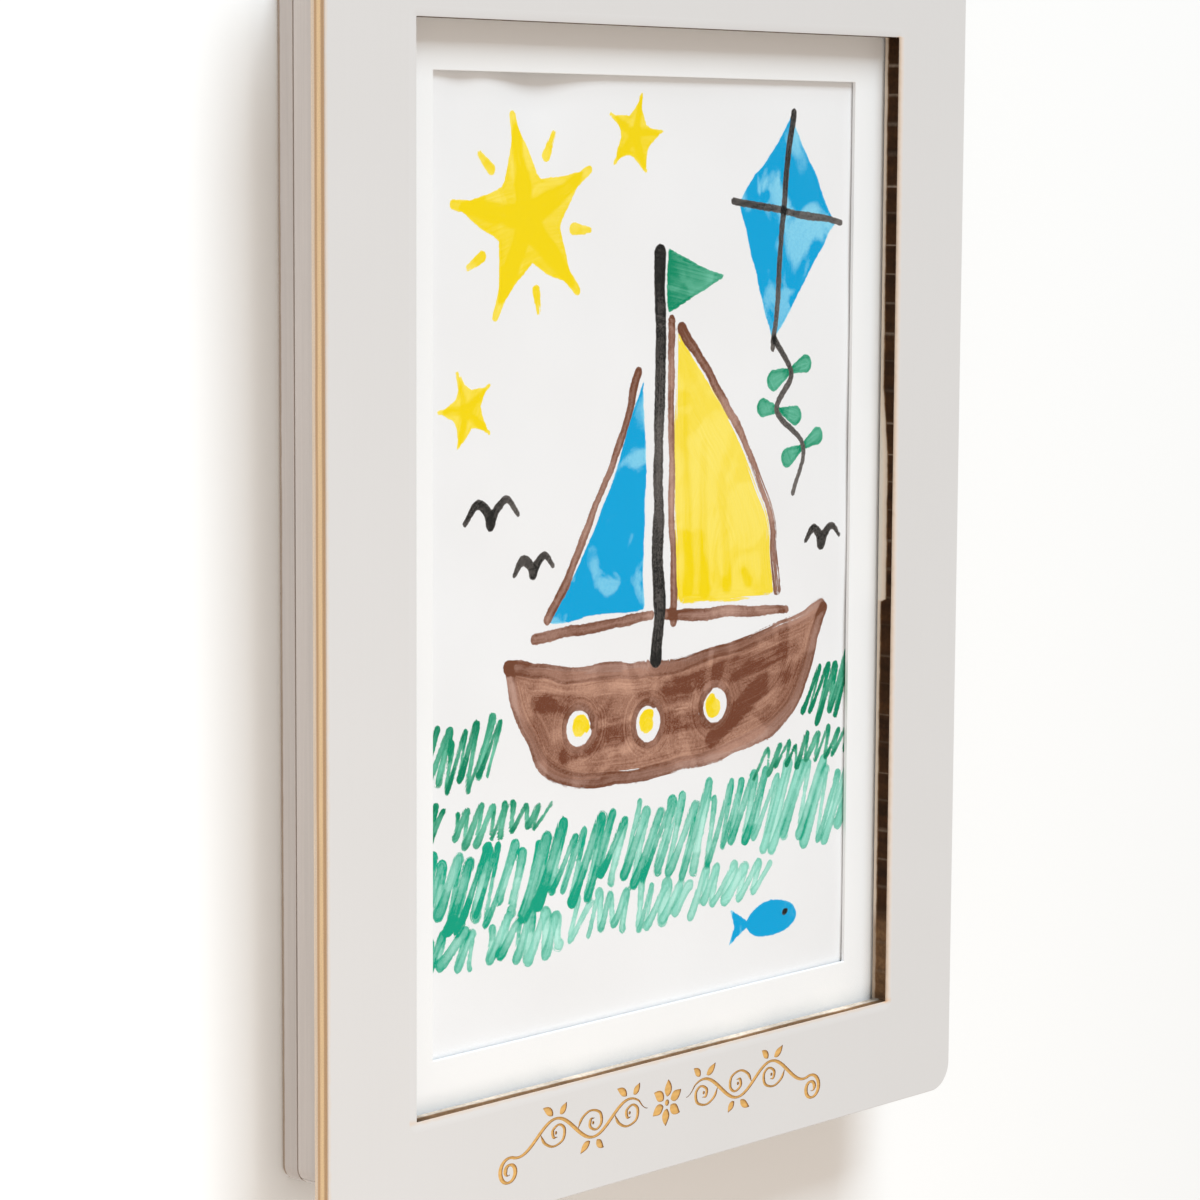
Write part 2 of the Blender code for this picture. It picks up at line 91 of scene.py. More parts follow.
# Sides of the frame, and the axis that a rail or a fillet runs along there
SIDES = {"top": "X", "right": "Z", "bottom": "X", "left": "Z"}

# Numbers of the materials on a flat ring, and of two more on the engraved plate
FACE, OUTER_EDGE, WINDOW_EDGE, FRINGE, ENGRAVED_FLOOR, ENGRAVED_WALL = range(6)


def to_linear(hex_colour):
    """Turns an sRGB hex colour into the linear red, green and blue that Blender works in."""
    shares = [int(hex_colour[i:i + 2], 16) / 255 for i in (0, 2, 4)]
    return tuple(s / 12.92 if s <= 0.04045 else ((s + 0.055) / 1.055) ** 2.4 for s in shares)


def size_setting(name, description, default):
    """A length that a user can change, in metres."""
    return FloatProperty(
        name=name, description=description, default=default, min=0.0, precision=5, unit="LENGTH"
    )


def place_setting(name, description, default):
    """A place that a user can change, in metres."""
    return FloatVectorProperty(
        name=name, description=description, default=default, size=3, subtype="TRANSLATION", unit="LENGTH"
    )


def number_setting(name, description, default):
    """A strength or a lens that a user can change."""
    return FloatProperty(name=name, description=description, default=default, min=0.0)


def colour_setting(name, description, hex_colour):
    """A colour that a user can change."""
    return FloatVectorProperty(
        name=name, description=description, default=to_linear(hex_colour), size=3, min=0.0, max=1.0,
        subtype="COLOR",
    )


class CoverSettings(bpy.types.PropertyGroup):
    """Sizes and colours of the plywood cover plate."""

    border: size_setting("Border", "Width of the plate round its window", 0.035)
    corner_radius: size_setting("Corner radius", "Radius of the plate's outer corners", 0.009)
    window_radius: size_setting("Window corner", "Radius that the beam leaves in each corner", 0.0003)
    edge_round: size_setting("Edge rounding", "Radius of the painted edges", 0.00035)
    fringe: size_setting("Browned fringe", "Width of the paint browned along the window", 0.0030)
    engraving_depth: size_setting("Engraving depth", "How deep the ornament is burnt in", 0.00035)
    engraving_reach: size_setting("Engraving reach", "Half the length of the ornament", 0.078)
    engraving_drop: size_setting("Engraving drop", "Middle of the ornament below the window's foot", 0.0142)
    paint: colour_setting("Paint", "Satin paint on the plate", "d4d4d3")
    veneer: colour_setting("Outer veneer", "Pale outer veneer seen on the raw edge", "f7e2c8")
    cross_ply: colour_setting("Cross ply", "End grain and glue between the veneers", "cda67b")
    core_ply: colour_setting("Core ply", "Long grain in the middle of the raw edge", "fcd9a6")
    char: colour_setting("Char", "Edge burnt by the cutting beam", "2e1b0b")
    scorch: colour_setting("Scorch", "Edge browned by the cutting beam", "93704f")
    tanned: colour_setting("Tanned paint", "Paint browned along the cut", "d8c3ae")
    warmed: colour_setting("Warmed wood", "Back of the cut edge, which the beam only warmed", "dccebd")
    pale_wood: colour_setting("Pale wood", "Cut edge behind a shallow burn", "dad5cb")
    engraved: colour_setting("Engraved wood", "Floor of the burnt lines", "dcae64")


class BoxSettings(bpy.types.PropertyGroup):
    """Sizes and colours of the storage box on the wall."""

    edge_round: size_setting("Edge rounding", "Radius of the box's long edges", 0.0007)
    # The two paints differ as painted light and shade: the rails are painted lighter than the panel, for the
    # light that the wall bounces onto them
    paint: colour_setting("Paint", "Satin paint on the rails", "e2d8cf")
    panel_paint_shaded: colour_setting("Panel paint", "Satin paint on the back panel", "d2c8bf")
    # The brown along the wall is partly bare wood and partly painted contact shade where the panel meets the
    # wall
    bare_edge_and_wall_shade: colour_setting("Bare edge", "Panel's rearmost edge, where the paint stops short", "9a846e")
    bare_and_shaded_strip: size_setting("Bare strip", "Width of the unpainted strip along the wall", 0.0008)


class PictureSettings(bpy.types.PropertyGroup):
    """Sizes and colours of the mat, the painted sheet and what holds them."""

    mat_shown_x: size_setting("Mat shown at sides", "Width of mat in view at the left and right", 0.0135)
    mat_shown_z: size_setting("Mat shown above", "Width of mat in view at the top and bottom", 0.0145)
    cut_round: size_setting("Cut edge", "Rounding that the blade leaves on the mat's edges", 0.00012)
    paper_thickness: size_setting("Paper thickness", "Thickness of the painted sheet", 0.00024)
    paper_step: size_setting("Paper grid", "Spacing of the points that the sheet is worked out on", 0.00082)
    card: colour_setting("Card", "Face of the mat", "eff1f1")
    card_core: colour_setting("Card core", "Cut edge of the mat", "f1f3f5")
    paper: colour_setting("Paper", "Drawing paper", "ebedee")
    board: colour_setting("Board", "Backing board", "9b8468")
    pine: colour_setting("Pine", "Fillets round the sheets", "dcb987")


class HardwareSettings(bpy.types.PropertyGroup):
    """Sizes and colours of the screws, magnets, hangers and turn buttons."""

    recess_reach: size_setting("Recess reach", "Reach of the driver's cross in the larger screws", 0.0017)
    zinc: colour_setting("Zinc", "Zinc plating", "b4b8bd")
    nickel: colour_setting("Nickel", "Nickel plating", "cfcbc4")
    brass: colour_setting("Brass", "Brass plating", "d0ab5c")


class StageSettings(bpy.types.PropertyGroup):
    """The camera, the lamps and the wall."""

    camera_place: place_setting("Camera place", "Where the camera stands", (-0.85300, -0.78844, 0.11849))
    camera_turn: FloatVectorProperty(
        name="Camera turn", description="How the camera is turned", size=3, subtype="EULER", unit="ROTATION",
        default=(radians(83.2986), radians(-0.3051), radians(-47.4316)),
    )
    lens: number_setting("Lens", "Focal length in millimetres", 112.457)
    key_place: place_setting("Key lamp", "Where the large soft lamp hangs", (0.4, -3.8, 5.6))
    key_size: size_setting("Key lamp size", "Side of the key lamp", 3.2)
    key_power: number_setting("Key lamp power", "In watts", 442.0)
    key_light: colour_setting("Key light", "Colour of the key lamp", "e9f5ff")
    near_place: place_setting("Near lamp", "Where the weak lamp stands, low down", (-0.45, -0.75, -0.45))
    near_size: size_setting("Near lamp size", "Side of the near lamp", 0.5)
    near_power: number_setting("Near lamp power", "In watts", 2.9)
    near_light: colour_setting("Near light", "Colour of the near lamp", "fff3e9")
    back_place: place_setting("Back lamp", "Where the lamp behind the wall hangs", (-1.8, 1.3, 0.3))
    back_size: size_setting("Back lamp size", "Side of the back lamp", 1.6)
    back_power: number_setting("Back lamp power", "In watts", 15.0)
    back_light: colour_setting("Back light", "Colour of the back lamp", "dcefff")
    room_light: number_setting("Room light", "Strength of the even light from all round", 0.488)
    room: colour_setting("Room", "Colour of the even light from all round", "ffefe2")
    wall_size: size_setting("Wall size", "Side of the square of wall", 8.0)
    wall_gap: size_setting("Wall gap", "Gap between the box and the wall", 0.0004)
    wall: colour_setting("Wall", "Matt white wall", "f8fbfb")


SETTINGS = {
    "artframe_cover": CoverSettings,
    "artframe_box": BoxSettings,
    "artframe_picture": PictureSettings,
    "artframe_hardware": HardwareSettings,
    "artframe_stage": StageSettings,
}


# Meshes

def grid_faces(rows, columns, wrap_rows=False, wrap_columns=False):
    """Quads of a grid of points, row after row, which may close on itself either way."""
    row = np.arange(rows if wrap_rows else rows - 1)[:, None]
    column = np.arange(columns if wrap_columns else columns - 1)[None, :]
    after_row = (row + 1) % rows
    after_column = (column + 1) % columns
    corners = (
        row * columns + column, row * columns + after_column,
        after_row * columns + after_column, after_row * columns + column,
    )
    return np.stack([c + 0 * row + 0 * column for c in corners], axis=-1).reshape(-1, 4)


def put_in_scene(name, data):
    """A new object for a mesh, a lamp or a camera, in the scene."""
    item = bpy.data.objects.new(name, data)
    bpy.context.scene.collection.objects.link(item)
    return item


def make_piece(name, points, faces, materials, face_materials=None, smooth_angle=30):
    """Puts points and faces into a new object, with its faces pointing outwards."""
    mesh = bpy.data.meshes.new(name)
    mesh.from_pydata(np.asarray(points, float).reshape(-1, 3), [], [list(map(int, face)) for face in faces])
    for material in materials:
        mesh.materials.append(material)
    if face_materials is not None:
        mesh.polygons.foreach_set("material_index", np.asarray(face_materials, np.int32))
    work = bmesh.new()
    work.from_mesh(mesh)
    bmesh.ops.recalc_face_normals(work, faces=work.faces)
    work.to_mesh(mesh)
    work.free()
    mesh.shade_smooth()
    mesh.set_sharp_from_angle(angle=radians(smooth_angle))
    return put_in_scene(name, mesh)


def settle(piece):
    """Turns a piece's live modifiers into plain mesh."""
    shape = piece.evaluated_get(bpy.context.evaluated_depsgraph_get())
    mesh = bpy.data.meshes.new_from_object(shape)
    piece.modifiers.clear()
    piece.data = mesh


def carve(piece, *cutters, smooth_angle=30):
    """Takes closed cutters out of a piece, one after another, and removes them."""
    for cutter in cutters:
        boolean = piece.modifiers.new(cutter.name, "BOOLEAN")
        boolean.operation = "DIFFERENCE"
        boolean.solver = "EXACT"
        boolean.object = cutter
    settle(piece)
    piece.data.set_sharp_from_angle(angle=radians(smooth_angle))
    for cutter in cutters:
        bpy.data.objects.remove(cutter, do_unlink=True)


def seat(piece, *nodes, slot):
    """Makes a piece stand for CAD nodes of one body and ride on that body. slot is not used."""
    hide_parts(*nodes)
    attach(piece, NODE_BODY[nodes[0]])


def ring(half_x, half_z, radius):
    """Points round a rectangle with round corners, against the clock as seen from the front.

    Each corner's points lie on a quarter circle about a centre one radius in from both sides.
    """
    quarter = np.linspace(0, np.pi / 2, CORNER_STEPS + 1)
    angles = np.concatenate([quarter + corner * np.pi / 2 for corner in range(4)])
    signs = np.repeat([(1, 1), (-1, 1), (-1, -1), (1, -1)], CORNER_STEPS + 1, axis=0)
    centres = signs * (half_x - radius, half_z - radius)
    return centres + radius * np.stack([np.cos(angles), np.sin(angles)], axis=1)


def flat_ring(name, window, outside, faces_y, rounding, fringe, materials):
    """A flat frame with a window: rings carried round its section, from the window's edge to the outside.

    window and outside are (half width, half height, corner radius). A ring that lies a distance inside
    the outline is that much smaller and has a corner that much tighter, and round the window it is that
    much larger and wider. The section's four corners are quarter circles, each between two holding rings
    that keep the wide faces flat. materials are for the faces, the outer edge, the window's edge and the
    fringe of the front face along the window.
    """
    front, back = faces_y
    turn = np.linspace(0, np.pi / 2, EDGE_STEPS + 1)
    into = rounding * (1 - np.sin(turn))
    down = rounding * (1 - np.cos(turn))
    hold = 2 * rounding
    # Each ring: on the outside or not, place in Y, distance inside the outline, material up to the next ring
    section = [(0, front + hold, 0, WINDOW_EDGE)]
    section += [(0, front + i, d, FRINGE) for i, d in zip(into, down)]
    section += [(0, front, fringe, FACE), (1, front, hold, FACE)]
    section += [(1, front + d, i, FACE) for i, d in zip(into, down)]
    section += [(1, front + hold, 0, OUTER_EDGE), (1, back - hold, 0, OUTER_EDGE)]
    section += [(1, back - i, d, OUTER_EDGE) for i, d in zip(into, down)]
    section += [(1, back, hold, FACE), (0, back, hold, FACE)]
    section += [(0, back - d, i, WINDOW_EDGE) for i, d in zip(into, down)]
    section += [(0, back - hold, 0, WINDOW_EDGE)]
    rings = []
    for outer, y, inset, _ in section:
        half_x, half_z, radius = outside if outer else window
        grow = -inset if outer else inset
        outline = ring(half_x + grow, half_z + grow, radius + grow)
        rings.append(np.stack([outline[:, 0], np.full(len(outline), y), outline[:, 1]], axis=1))
    columns = len(rings[0])
    faces = grid_faces(len(section), columns, wrap_rows=True, wrap_columns=True)
    kinds = np.repeat([kind for *_, kind in section], columns)
    return make_piece(name, np.stack(rings), faces, materials, kinds, smooth_angle=40)


def weigh_normals(mesh):
    """Turns each point's normal to the mean of its faces' normals, each counted by its area.

    A wide flat face then stays flat up to its border, and the rounding beside it takes up the turn.
    """
    sizes, corners = np.zeros(len(mesh.polygons), int), np.zeros(len(mesh.loops), int)
    areas, normals = np.zeros(len(mesh.polygons)), np.zeros(3 * len(mesh.polygons))
    mesh.polygons.foreach_get("loop_total", sizes)
    mesh.polygons.foreach_get("area", areas)
    mesh.polygons.foreach_get("normal", normals)
    mesh.loops.foreach_get("vertex_index", corners)
    weighed = np.repeat(areas[:, None] * normals.reshape(-1, 3), sizes, axis=0)
    sums = np.zeros((len(mesh.vertices), 3))
    np.add.at(sums, corners, weighed)
    sums /= np.linalg.norm(sums, axis=1, keepdims=True)
    mesh.normals_split_custom_set_from_vertices(sums.tolist())


def softened_copy(node, name, rounding, materials, steps=2):
    """A copy of a CAD node as one skin, with its sharp edges rounded as sanding or stamping leaves them."""
    mesh = frame["nodes"][node].data.copy()
    mesh.materials.clear()
    work = bmesh.new()
    work.from_mesh(mesh)
    bmesh.ops.remove_doubles(work, verts=work.verts, dist=rounding / 20)
    flat = radians(1)
    bmesh.ops.dissolve_limit(work, angle_limit=flat, verts=work.verts, edges=work.edges)
    work.to_mesh(mesh)
    work.free()
    for material in materials:
        mesh.materials.append(material)
    mesh.name = name
    mesh.shade_smooth()
    piece = put_in_scene(name, mesh)
    bevel = piece.modifiers.new("edge_rounding", "BEVEL")
    bevel.width = rounding
    bevel.segments = steps
    bevel.limit_method = "ANGLE"
    bevel.angle_limit = radians(35)
    settle(piece)
    weigh_normals(piece.data)
    return piece


def turned_mesh(profile):
    """Points and faces of a profile of (radius, y) turned about Y, with a flat cap at each end.

    A point is (radius cos a, y, radius sin a) for each step a of the turn.
    """
    turn = np.arange(TURNED_STEPS) * 2 * np.pi / TURNED_STEPS
    radius, y = np.array(profile).T
    level = np.repeat(y[:, None], TURNED_STEPS, axis=1)
    points = np.stack([np.outer(radius, np.cos(turn)), level, np.outer(radius, np.sin(turn))], axis=-1)
    rows = len(profile)
    faces = grid_faces(rows, TURNED_STEPS, wrap_columns=True).tolist()
    last = (rows - 1) * TURNED_STEPS
    caps = [list(range(TURNED_STEPS)), list(range(last, last + TURNED_STEPS))]
    return points.reshape(-1, 3), faces + caps


def ribbon(points, half_widths, top, bottom):
    """Points and faces of a closed ribbon that stands on edge across Y, for cutting a stroke.

    The line's own points move sideways by half the width there, at the ribbon's top and at its bottom.
    """
    line = np.asarray(points, float)
    slope = np.gradient(line, axis=0)
    slope /= np.linalg.norm(slope, axis=1, keepdims=True)
    across = np.stack([-slope[:, 1], slope[:, 0]], axis=1) * np.asarray(half_widths)[:, None]
    strands = [(line + across, top), (line - across, top), (line - across, bottom), (line + across, bottom)]
    grid = np.stack([np.stack([s[:, 0], np.full(len(s), y), s[:, 1]], axis=1) for s, y in strands], axis=1)
    count = len(line)
    faces = grid_faces(count, 4, wrap_columns=True).tolist()
    faces += [[0, 1, 2, 3], [4 * count - 4, 4 * count - 3, 4 * count - 2, 4 * count - 1]]
    return grid.reshape(-1, 3), faces


def joined(parts):
    """Points and faces of several closed shapes as one list, with each shape's faces counted on."""
    points, faces, start = [], [], 0
    for shape_points, shape_faces in parts:
        points.append(shape_points)
        faces += [[int(corner) + start for corner in face] for face in shape_faces]
        start += len(shape_points)
    return np.concatenate(points), faces


# Nodes

def fill(tree, socket, value):
    """Links a socket to another socket or to a node's first output in use, or sets its value."""
    if isinstance(value, bpy.types.Node):
        value = next(output for output in value.outputs if output.enabled)
    if isinstance(value, bpy.types.NodeSocket):
        tree.links.new(value, socket)
    else:
        socket.default_value = (*value, 1.0) if socket.type == "RGBA" else value


def add(tree, kind, *values, **settings):
    """Adds a node, sets its properties, and fills the sockets it uses, in their order or by name.

    stops are the places and colours of a colour ramp. A Map Range node takes its value, the two ends that
    the value comes from and the two that it goes to.
    """
    node = tree.nodes.new("ShaderNode" + kind)
    for key in [key for key in settings if key not in node.inputs]:
        value = settings.pop(key)
        if key != "stops":
            setattr(node, key, value)
            continue
        ramp = node.color_ramp
        while len(ramp.elements) < len(value):
            ramp.elements.new(1.0)
        for element, (position, colour) in zip(ramp.elements, value):
            element.position = position
            element.color = (*colour, 1.0)
    in_use = [socket for socket in node.inputs if socket.enabled]
    for socket, value in [*zip(in_use, values), *((node.inputs[key], settings[key]) for key in settings)]:
        fill(tree, socket, value)
    return node


def feed(tree, shader, colour, normal=None, roughness=None):
    """Links a material's colour to its shader, and its normal and roughness where they vary."""
    for name, source in (("Base Color", colour), ("Normal", normal), ("Roughness", roughness)):
        if source is not None:
            fill(tree, shader.inputs[name], source)


def new_material(name, roughness, metallic=0.0, ior=1.45, gloss=0.5):
    """A material with one Principled shader, and where the piece's own coordinates come from.

    gloss is the share of mirrored light that reaches the eye: a porous or sooty surface loses most of it.
    """
    material = bpy.data.materials.new(name)
    material.use_nodes = True
    tree = material.node_tree
    shader = tree.nodes["Principled BSDF"]
    shader.inputs["Roughness"].default_value = roughness
    shader.inputs["Metallic"].default_value = metallic
    if not metallic:
        shader.inputs["IOR"].default_value = ior
    shader.inputs["Specular IOR Level"].default_value = gloss
    place = add(tree, "TexCoord").outputs["Object"]
    return material, tree, shader, place


def shade(colour, factor):
    """A colour made darker or lighter."""
    return tuple(min(1.0, part * factor) for part in colour)


def grain_scale(along, width, length):
    """Mapping scale that makes noise this wide across the grain and this long along an axis."""
    return tuple(1 / length if axis == along else 1 / width for axis in "XYZ")


def satin_paint(name, colour, along, streak):
    """Satin acrylic paint, rolled on wood: an even film with a fine stipple, through which the grain shows.

    streak is how much the long marks of grain and roller darken the film.
    """
    streak_width, streak_length = 1.1 * MM, 60 * MM
    cloud_size = 45 * MM
    stipple_size = 0.9 * MM
    material, tree, shader, place = new_material(name, 0.42, ior=1.47)
    stretched = add(tree, "Mapping", place, Scale=grain_scale(along, streak_width, streak_length))
    streaks = add(tree, "TexNoise", stretched, Scale=1.0, Detail=3.0, Roughness=0.6)
    clouds = add(tree, "TexNoise", place, Scale=1 / cloud_size, Detail=2.0)
    stipple = add(tree, "TexNoise", place, Scale=1 / stipple_size, Detail=2.0, Roughness=0.55)
    marks = add(tree, "MapRange", streaks, 0.35, 0.68)
    worn = add(tree, "Mix", marks, shade(colour, 1 + streak / 3), shade(colour, 1 - streak),
               data_type="RGBA")
    tone = add(tree, "Mix", clouds, worn, (0.975, 0.972, 0.966), data_type="RGBA", blend_type="MULTIPLY")
    dull = add(tree, "MapRange", stipple, 0.3, 0.7, 0.38, 0.5)
    low = add(tree, "Bump", Height=streaks, Strength=10 * streak, Distance=0.04 * MM)
    fine = add(tree, "Bump", Height=stipple, Strength=0.3, Distance=0.03 * MM, Normal=low)
    feed(tree, shader, tone, normal=fine, roughness=dull)
    return material


def tint_near(material, axis, at, reach, tint):
    """Tints a material close to one plane across an axis, less and less with distance, in patches."""
    tree = material.node_tree
    shader = tree.nodes["Principled BSDF"]
    plain = shader.inputs["Base Color"].links[0].from_socket
    place = add(tree, "TexCoord").outputs["Object"]
    patches = add(tree, "TexNoise", place, Scale=1 / (3 * reach), Detail=3.0)
    apart = add(tree, "SeparateXYZ", place)
    off = add(tree, "Math", apart.outputs["XYZ".index(axis)], at, operation="SUBTRACT")
    away = add(tree, "Math", off, operation="ABSOLUTE")
    pushed = add(tree, "Math", patches, reach, away, operation="MULTIPLY_ADD")
    near = add(tree, "MapRange", pushed, 1.5 * reach, 0.5 * reach)
    tinted = add(tree, "Mix", near, plain, tint, data_type="RGBA", blend_type="MULTIPLY")
    feed(tree, shader, tinted)


def browned_paint(name, cover):
    """Paint along the cut window: smoke drifted right and tanned that side alone, paler outwards.

    Past the window's upper and lower ends the tan fades four times as fast.
    """
    fringe_patch = 2.5 * MM
    material, tree, shader, place = new_material(name, 0.5, ior=1.47)
    apart = add(tree, "SeparateXYZ", place)
    beside = add(tree, "Math", apart.outputs[0], PLATE_HIGH.x - cover.border, operation="SUBTRACT")
    away = add(tree, "Math", beside, operation="ABSOLUTE")
    level = add(tree, "Math", apart.outputs[2], operation="ABSOLUTE")
    past = add(tree, "Math", level, PLATE_HIGH.z - cover.border, operation="SUBTRACT")
    past = add(tree, "Math", past, 0.0, operation="MAXIMUM")
    away = add(tree, "Math", past, 4.0, away, operation="MULTIPLY_ADD")
    patches = add(tree, "TexNoise", place, Scale=1 / fringe_patch, Detail=3.0)
    pushed = add(tree, "Math", patches, 0.35 * cover.fringe, away, operation="MULTIPLY_ADD")
    share = add(tree, "MapRange", pushed, 0.15 * cover.fringe, 1.15 * cover.fringe)
    tan, paint = cover.tanned, cover.paint
    midway = tuple((a + b) / 2 for a, b in zip(tan, paint))
    tone = add(tree, "ValToRGB", share, stops=[
        (0.0, shade(tan, 0.6)), (0.25, shade(tan, 0.9)), (0.6, shade(midway, 1.04)), (1.0, paint)])
    feed(tree, shader, tone)
    return material


def depth_share(tree, place, amount, wander):
    """Share of the plate's thickness, 0 at its face and 1 at its back, pushed about by noise."""
    apart = add(tree, "SeparateXYZ", place)
    share = add(tree, "MapRange", apart.outputs[1], PLATE_LOW.y, PLATE_HIGH.y)
    push = add(tree, "Math", wander, amount, -amount / 2, operation="MULTIPLY_ADD")
    return add(tree, "Math", push, share, operation="ADD"), apart


def plywood_edge(name, cover):
    """Raw sanded edge of birch plywood: pale long-grain veneers between darker end grain and glue lines."""
    fibre_width, fibre_length = 0.16 * MM, 14 * MM
    pore_size = 0.45 * MM
    drift_size = 22 * MM
    material, tree, shader, place = new_material(name, 0.62, ior=1.5)
    stretched = add(tree, "Mapping", place, Scale=(1 / fibre_length, 1 / fibre_width, 1 / fibre_length))
    fibres = add(tree, "TexNoise", stretched, Scale=1.0, Detail=3.0)
    pores = add(tree, "TexNoise", place, Scale=1 / pore_size, Detail=3.0)
    drift = add(tree, "TexNoise", place, Scale=1 / drift_size, Detail=1.0)
    share, _ = depth_share(tree, place, 0.06, drift)
    pale, cross, core = cover.veneer, cover.cross_ply, cover.core_ply
    layers = add(tree, "ValToRGB", share, stops=[
        (0.00, pale), (0.05, shade(pale, 0.97)), (0.11, shade(cross, 0.98)), (0.19, shade(cross, 0.93)),
        (0.28, shade(cross, 1.02)), (0.35, core), (0.46, shade(core, 1.04)), (0.56, shade(core, 0.97)),
        (0.62, shade(cross, 1.08)), (0.68, shade(cross, 1.03)), (0.73, shade(cross, 1.1)),
        (0.79, shade(pale, 0.95)), (1.00, shade(pale, 1.03))])
    fibre_tone = add(tree, "MapRange", fibres, 0.3, 0.7, 0.88, 1.06)
    pore_tone = add(tree, "MapRange", pores, 0.3, 0.6, 0.88)
    both = add(tree, "Math", fibre_tone, pore_tone, operation="MULTIPLY")
    colour = add(tree, "VectorMath", layers, both, operation="SCALE")
    bump = add(tree, "Bump", Height=fibres, Strength=0.6, Distance=0.05 * MM)
    feed(tree, shader, colour, normal=bump)
    return material


def burnt_through(tree, cover, share, height):
    """How far into the plate a spot of the cut edge lies, and its colour there: char, then warmed wood.

    The burn is shallower on one stretch of the height, and browner near the foot.
    """
    shallow_low, shallow_high, shallow_end = -24 * MM, 23 * MM, 46 * MM
    brown_high, brown_low = -126 * MM, -134 * MM
    rise = add(tree, "MapRange", height, shallow_low - 1 * MM, shallow_low, 0.0, 0.36)
    fall = add(tree, "MapRange", height, shallow_end, shallow_high, 0.0, 0.36)
    shallow = add(tree, "Math", rise, fall, operation="MINIMUM")
    depth = add(tree, "Math", share, shallow, operation="ADD")
    deeper = add(tree, "Math", depth, 0.7, operation="MULTIPLY")
    burnt = add(tree, "ValToRGB", deeper, stops=[
        (0.00, shade(cover.char, 2.2)), (0.06, cover.char), (0.48, shade(cover.char, 1.1)),
        (0.53, shade(cover.scorch, 0.5)), (0.58, shade(cover.warmed, 0.8)), (0.70, cover.warmed),
        (0.82, cover.pale_wood)])
    foot_share = add(tree, "MapRange", height, brown_high, brown_low, 0.0, 0.5)
    return depth, add(tree, "Mix", foot_share, burnt, shade(cover.scorch, 0.6), data_type="RGBA")


def browned_foot(tree, cover, share, sway, x):
    """Colour of the bottom edge from face to back: browned at the front, widest at its left end."""
    left = cover.border - PLATE_HIGH.x
    swayed = add(tree, "Math", sway, 0.3, share, operation="MULTIPLY_ADD")
    narrowing = add(tree, "MapRange", x, left, left + 60 * MM, 0.0, 0.10)
    swayed = add(tree, "Math", swayed, narrowing, operation="ADD")
    return add(tree, "ValToRGB", swayed, stops=[
        (0.15, cover.tanned), (0.20, shade(cover.scorch, 0.95)), (0.28, shade(cover.scorch, 0.65)),
        (0.62, shade(cover.scorch, 0.6)), (0.70, shade(cover.scorch, 1.1)),
        (0.77, shade(cover.warmed, 0.62)), (0.86, shade(cover.warmed, 0.92))])


def restart_ticks(tree, depth, bands, height):
    """Share of char at a depth, and of the pale ticks across it where the beam started again.

    The ticks come at a steady pitch that wanders a little, clearer higher up and in some bands.
    """
    pitch, width = 9.6 * MM, 1.2 * MM
    wandering = add(tree, "Math", bands, 0.9 * pitch, height, operation="MULTIPLY_ADD")
    phase = add(tree, "Math", wandering, pitch / 2, operation="PINGPONG")
    tick = add(tree, "MapRange", phase, 0.0, width / 2, 0.65, 0.0)
    clear = add(tree, "MapRange", bands, 0.4, 0.58, 0.15)
    lower = add(tree, "MapRange", height, 0.0, 80 * MM, 0.35)
    clear = add(tree, "Math", clear, lower, operation="MULTIPLY")
    char_share = add(tree, "MapRange", depth, 0.82, 0.7)
    clear = add(tree, "Math", clear, char_share, operation="MULTIPLY")
    return char_share, add(tree, "Math", tick, clear, operation="MULTIPLY")


def charred_edge(name, cover):
    """Edge burnt by a cutting beam: dull black-brown char, and tan wood behind it that was only warmed.

    The upright and top edges are burnt through most of their depth. The bottom edge is browned at the
    front and stays pale behind.
    """
    ragged_size = 6 * MM
    soot_size = 1.2 * MM
    band_size = 7 * MM
    sway_size = 26 * MM
    material, tree, shader, place = new_material(name, 0.9, ior=1.5, gloss=0.15)
    ragged = add(tree, "TexNoise", place, Scale=1 / ragged_size, Detail=4.0, Roughness=0.62)
    soot = add(tree, "TexNoise", place, Scale=1 / soot_size, Detail=3.0)
    flat = add(tree, "Mapping", place, Scale=(1 / sway_size, 0.0, 1 / sway_size))
    sway = add(tree, "TexNoise", flat, Scale=1.0, Detail=2.0)
    upright = add(tree, "Mapping", place, Scale=(0.0, 0.0, 1 / band_size))
    bands = add(tree, "TexNoise", upright, Scale=1.0, Detail=2.0)
    share, apart = depth_share(tree, place, 0.14, ragged)
    x, _, height = apart.outputs
    depth, burnt = burnt_through(tree, cover, share, height)
    browned = browned_foot(tree, cover, share, sway, x)
    foot = PLATE_HIGH.z - cover.border
    level = add(tree, "MapRange", height, -foot + 0.6 * MM, -foot + 0.2 * MM)
    char_share, tick = restart_ticks(tree, depth, bands, height)
    marked = add(tree, "Mix", tick, burnt, shade(cover.tanned, 0.42), data_type="RGBA")
    edge = add(tree, "Mix", level, marked, browned, data_type="RGBA")
    band_tone = add(tree, "MapRange", bands, 0.35, 0.68, 0.7, 1.9)
    sway_tone = add(tree, "MapRange", sway, 0.35, 0.65, 0.85, 1.3)
    flecks = add(tree, "MapRange", soot, 0.35, 0.7, 0.8, 1.15)
    aside = add(tree, "Math", x, operation="ABSOLUTE")
    corner = PLATE_HIGH.x - cover.border
    corner_tone = add(tree, "MapRange", aside, corner - 8 * MM, corner - 1 * MM, 1.0, 0.35)
    sway_tone = add(tree, "Math", sway_tone, corner_tone, operation="MULTIPLY")
    band_tone = add(tree, "Math", band_tone, flecks, operation="MULTIPLY")
    band_tone = add(tree, "Mix", char_share, 1.0, band_tone)
    sway_tone = add(tree, "Math", sway_tone, flecks, operation="MULTIPLY")
    tone = add(tree, "Mix", level, band_tone, sway_tone)
    colour = add(tree, "VectorMath", edge, tone, operation="SCALE")
    bump = add(tree, "Bump", Height=soot, Strength=0.7, Distance=0.12 * MM)
    feed(tree, shader, colour, normal=bump)
    return material


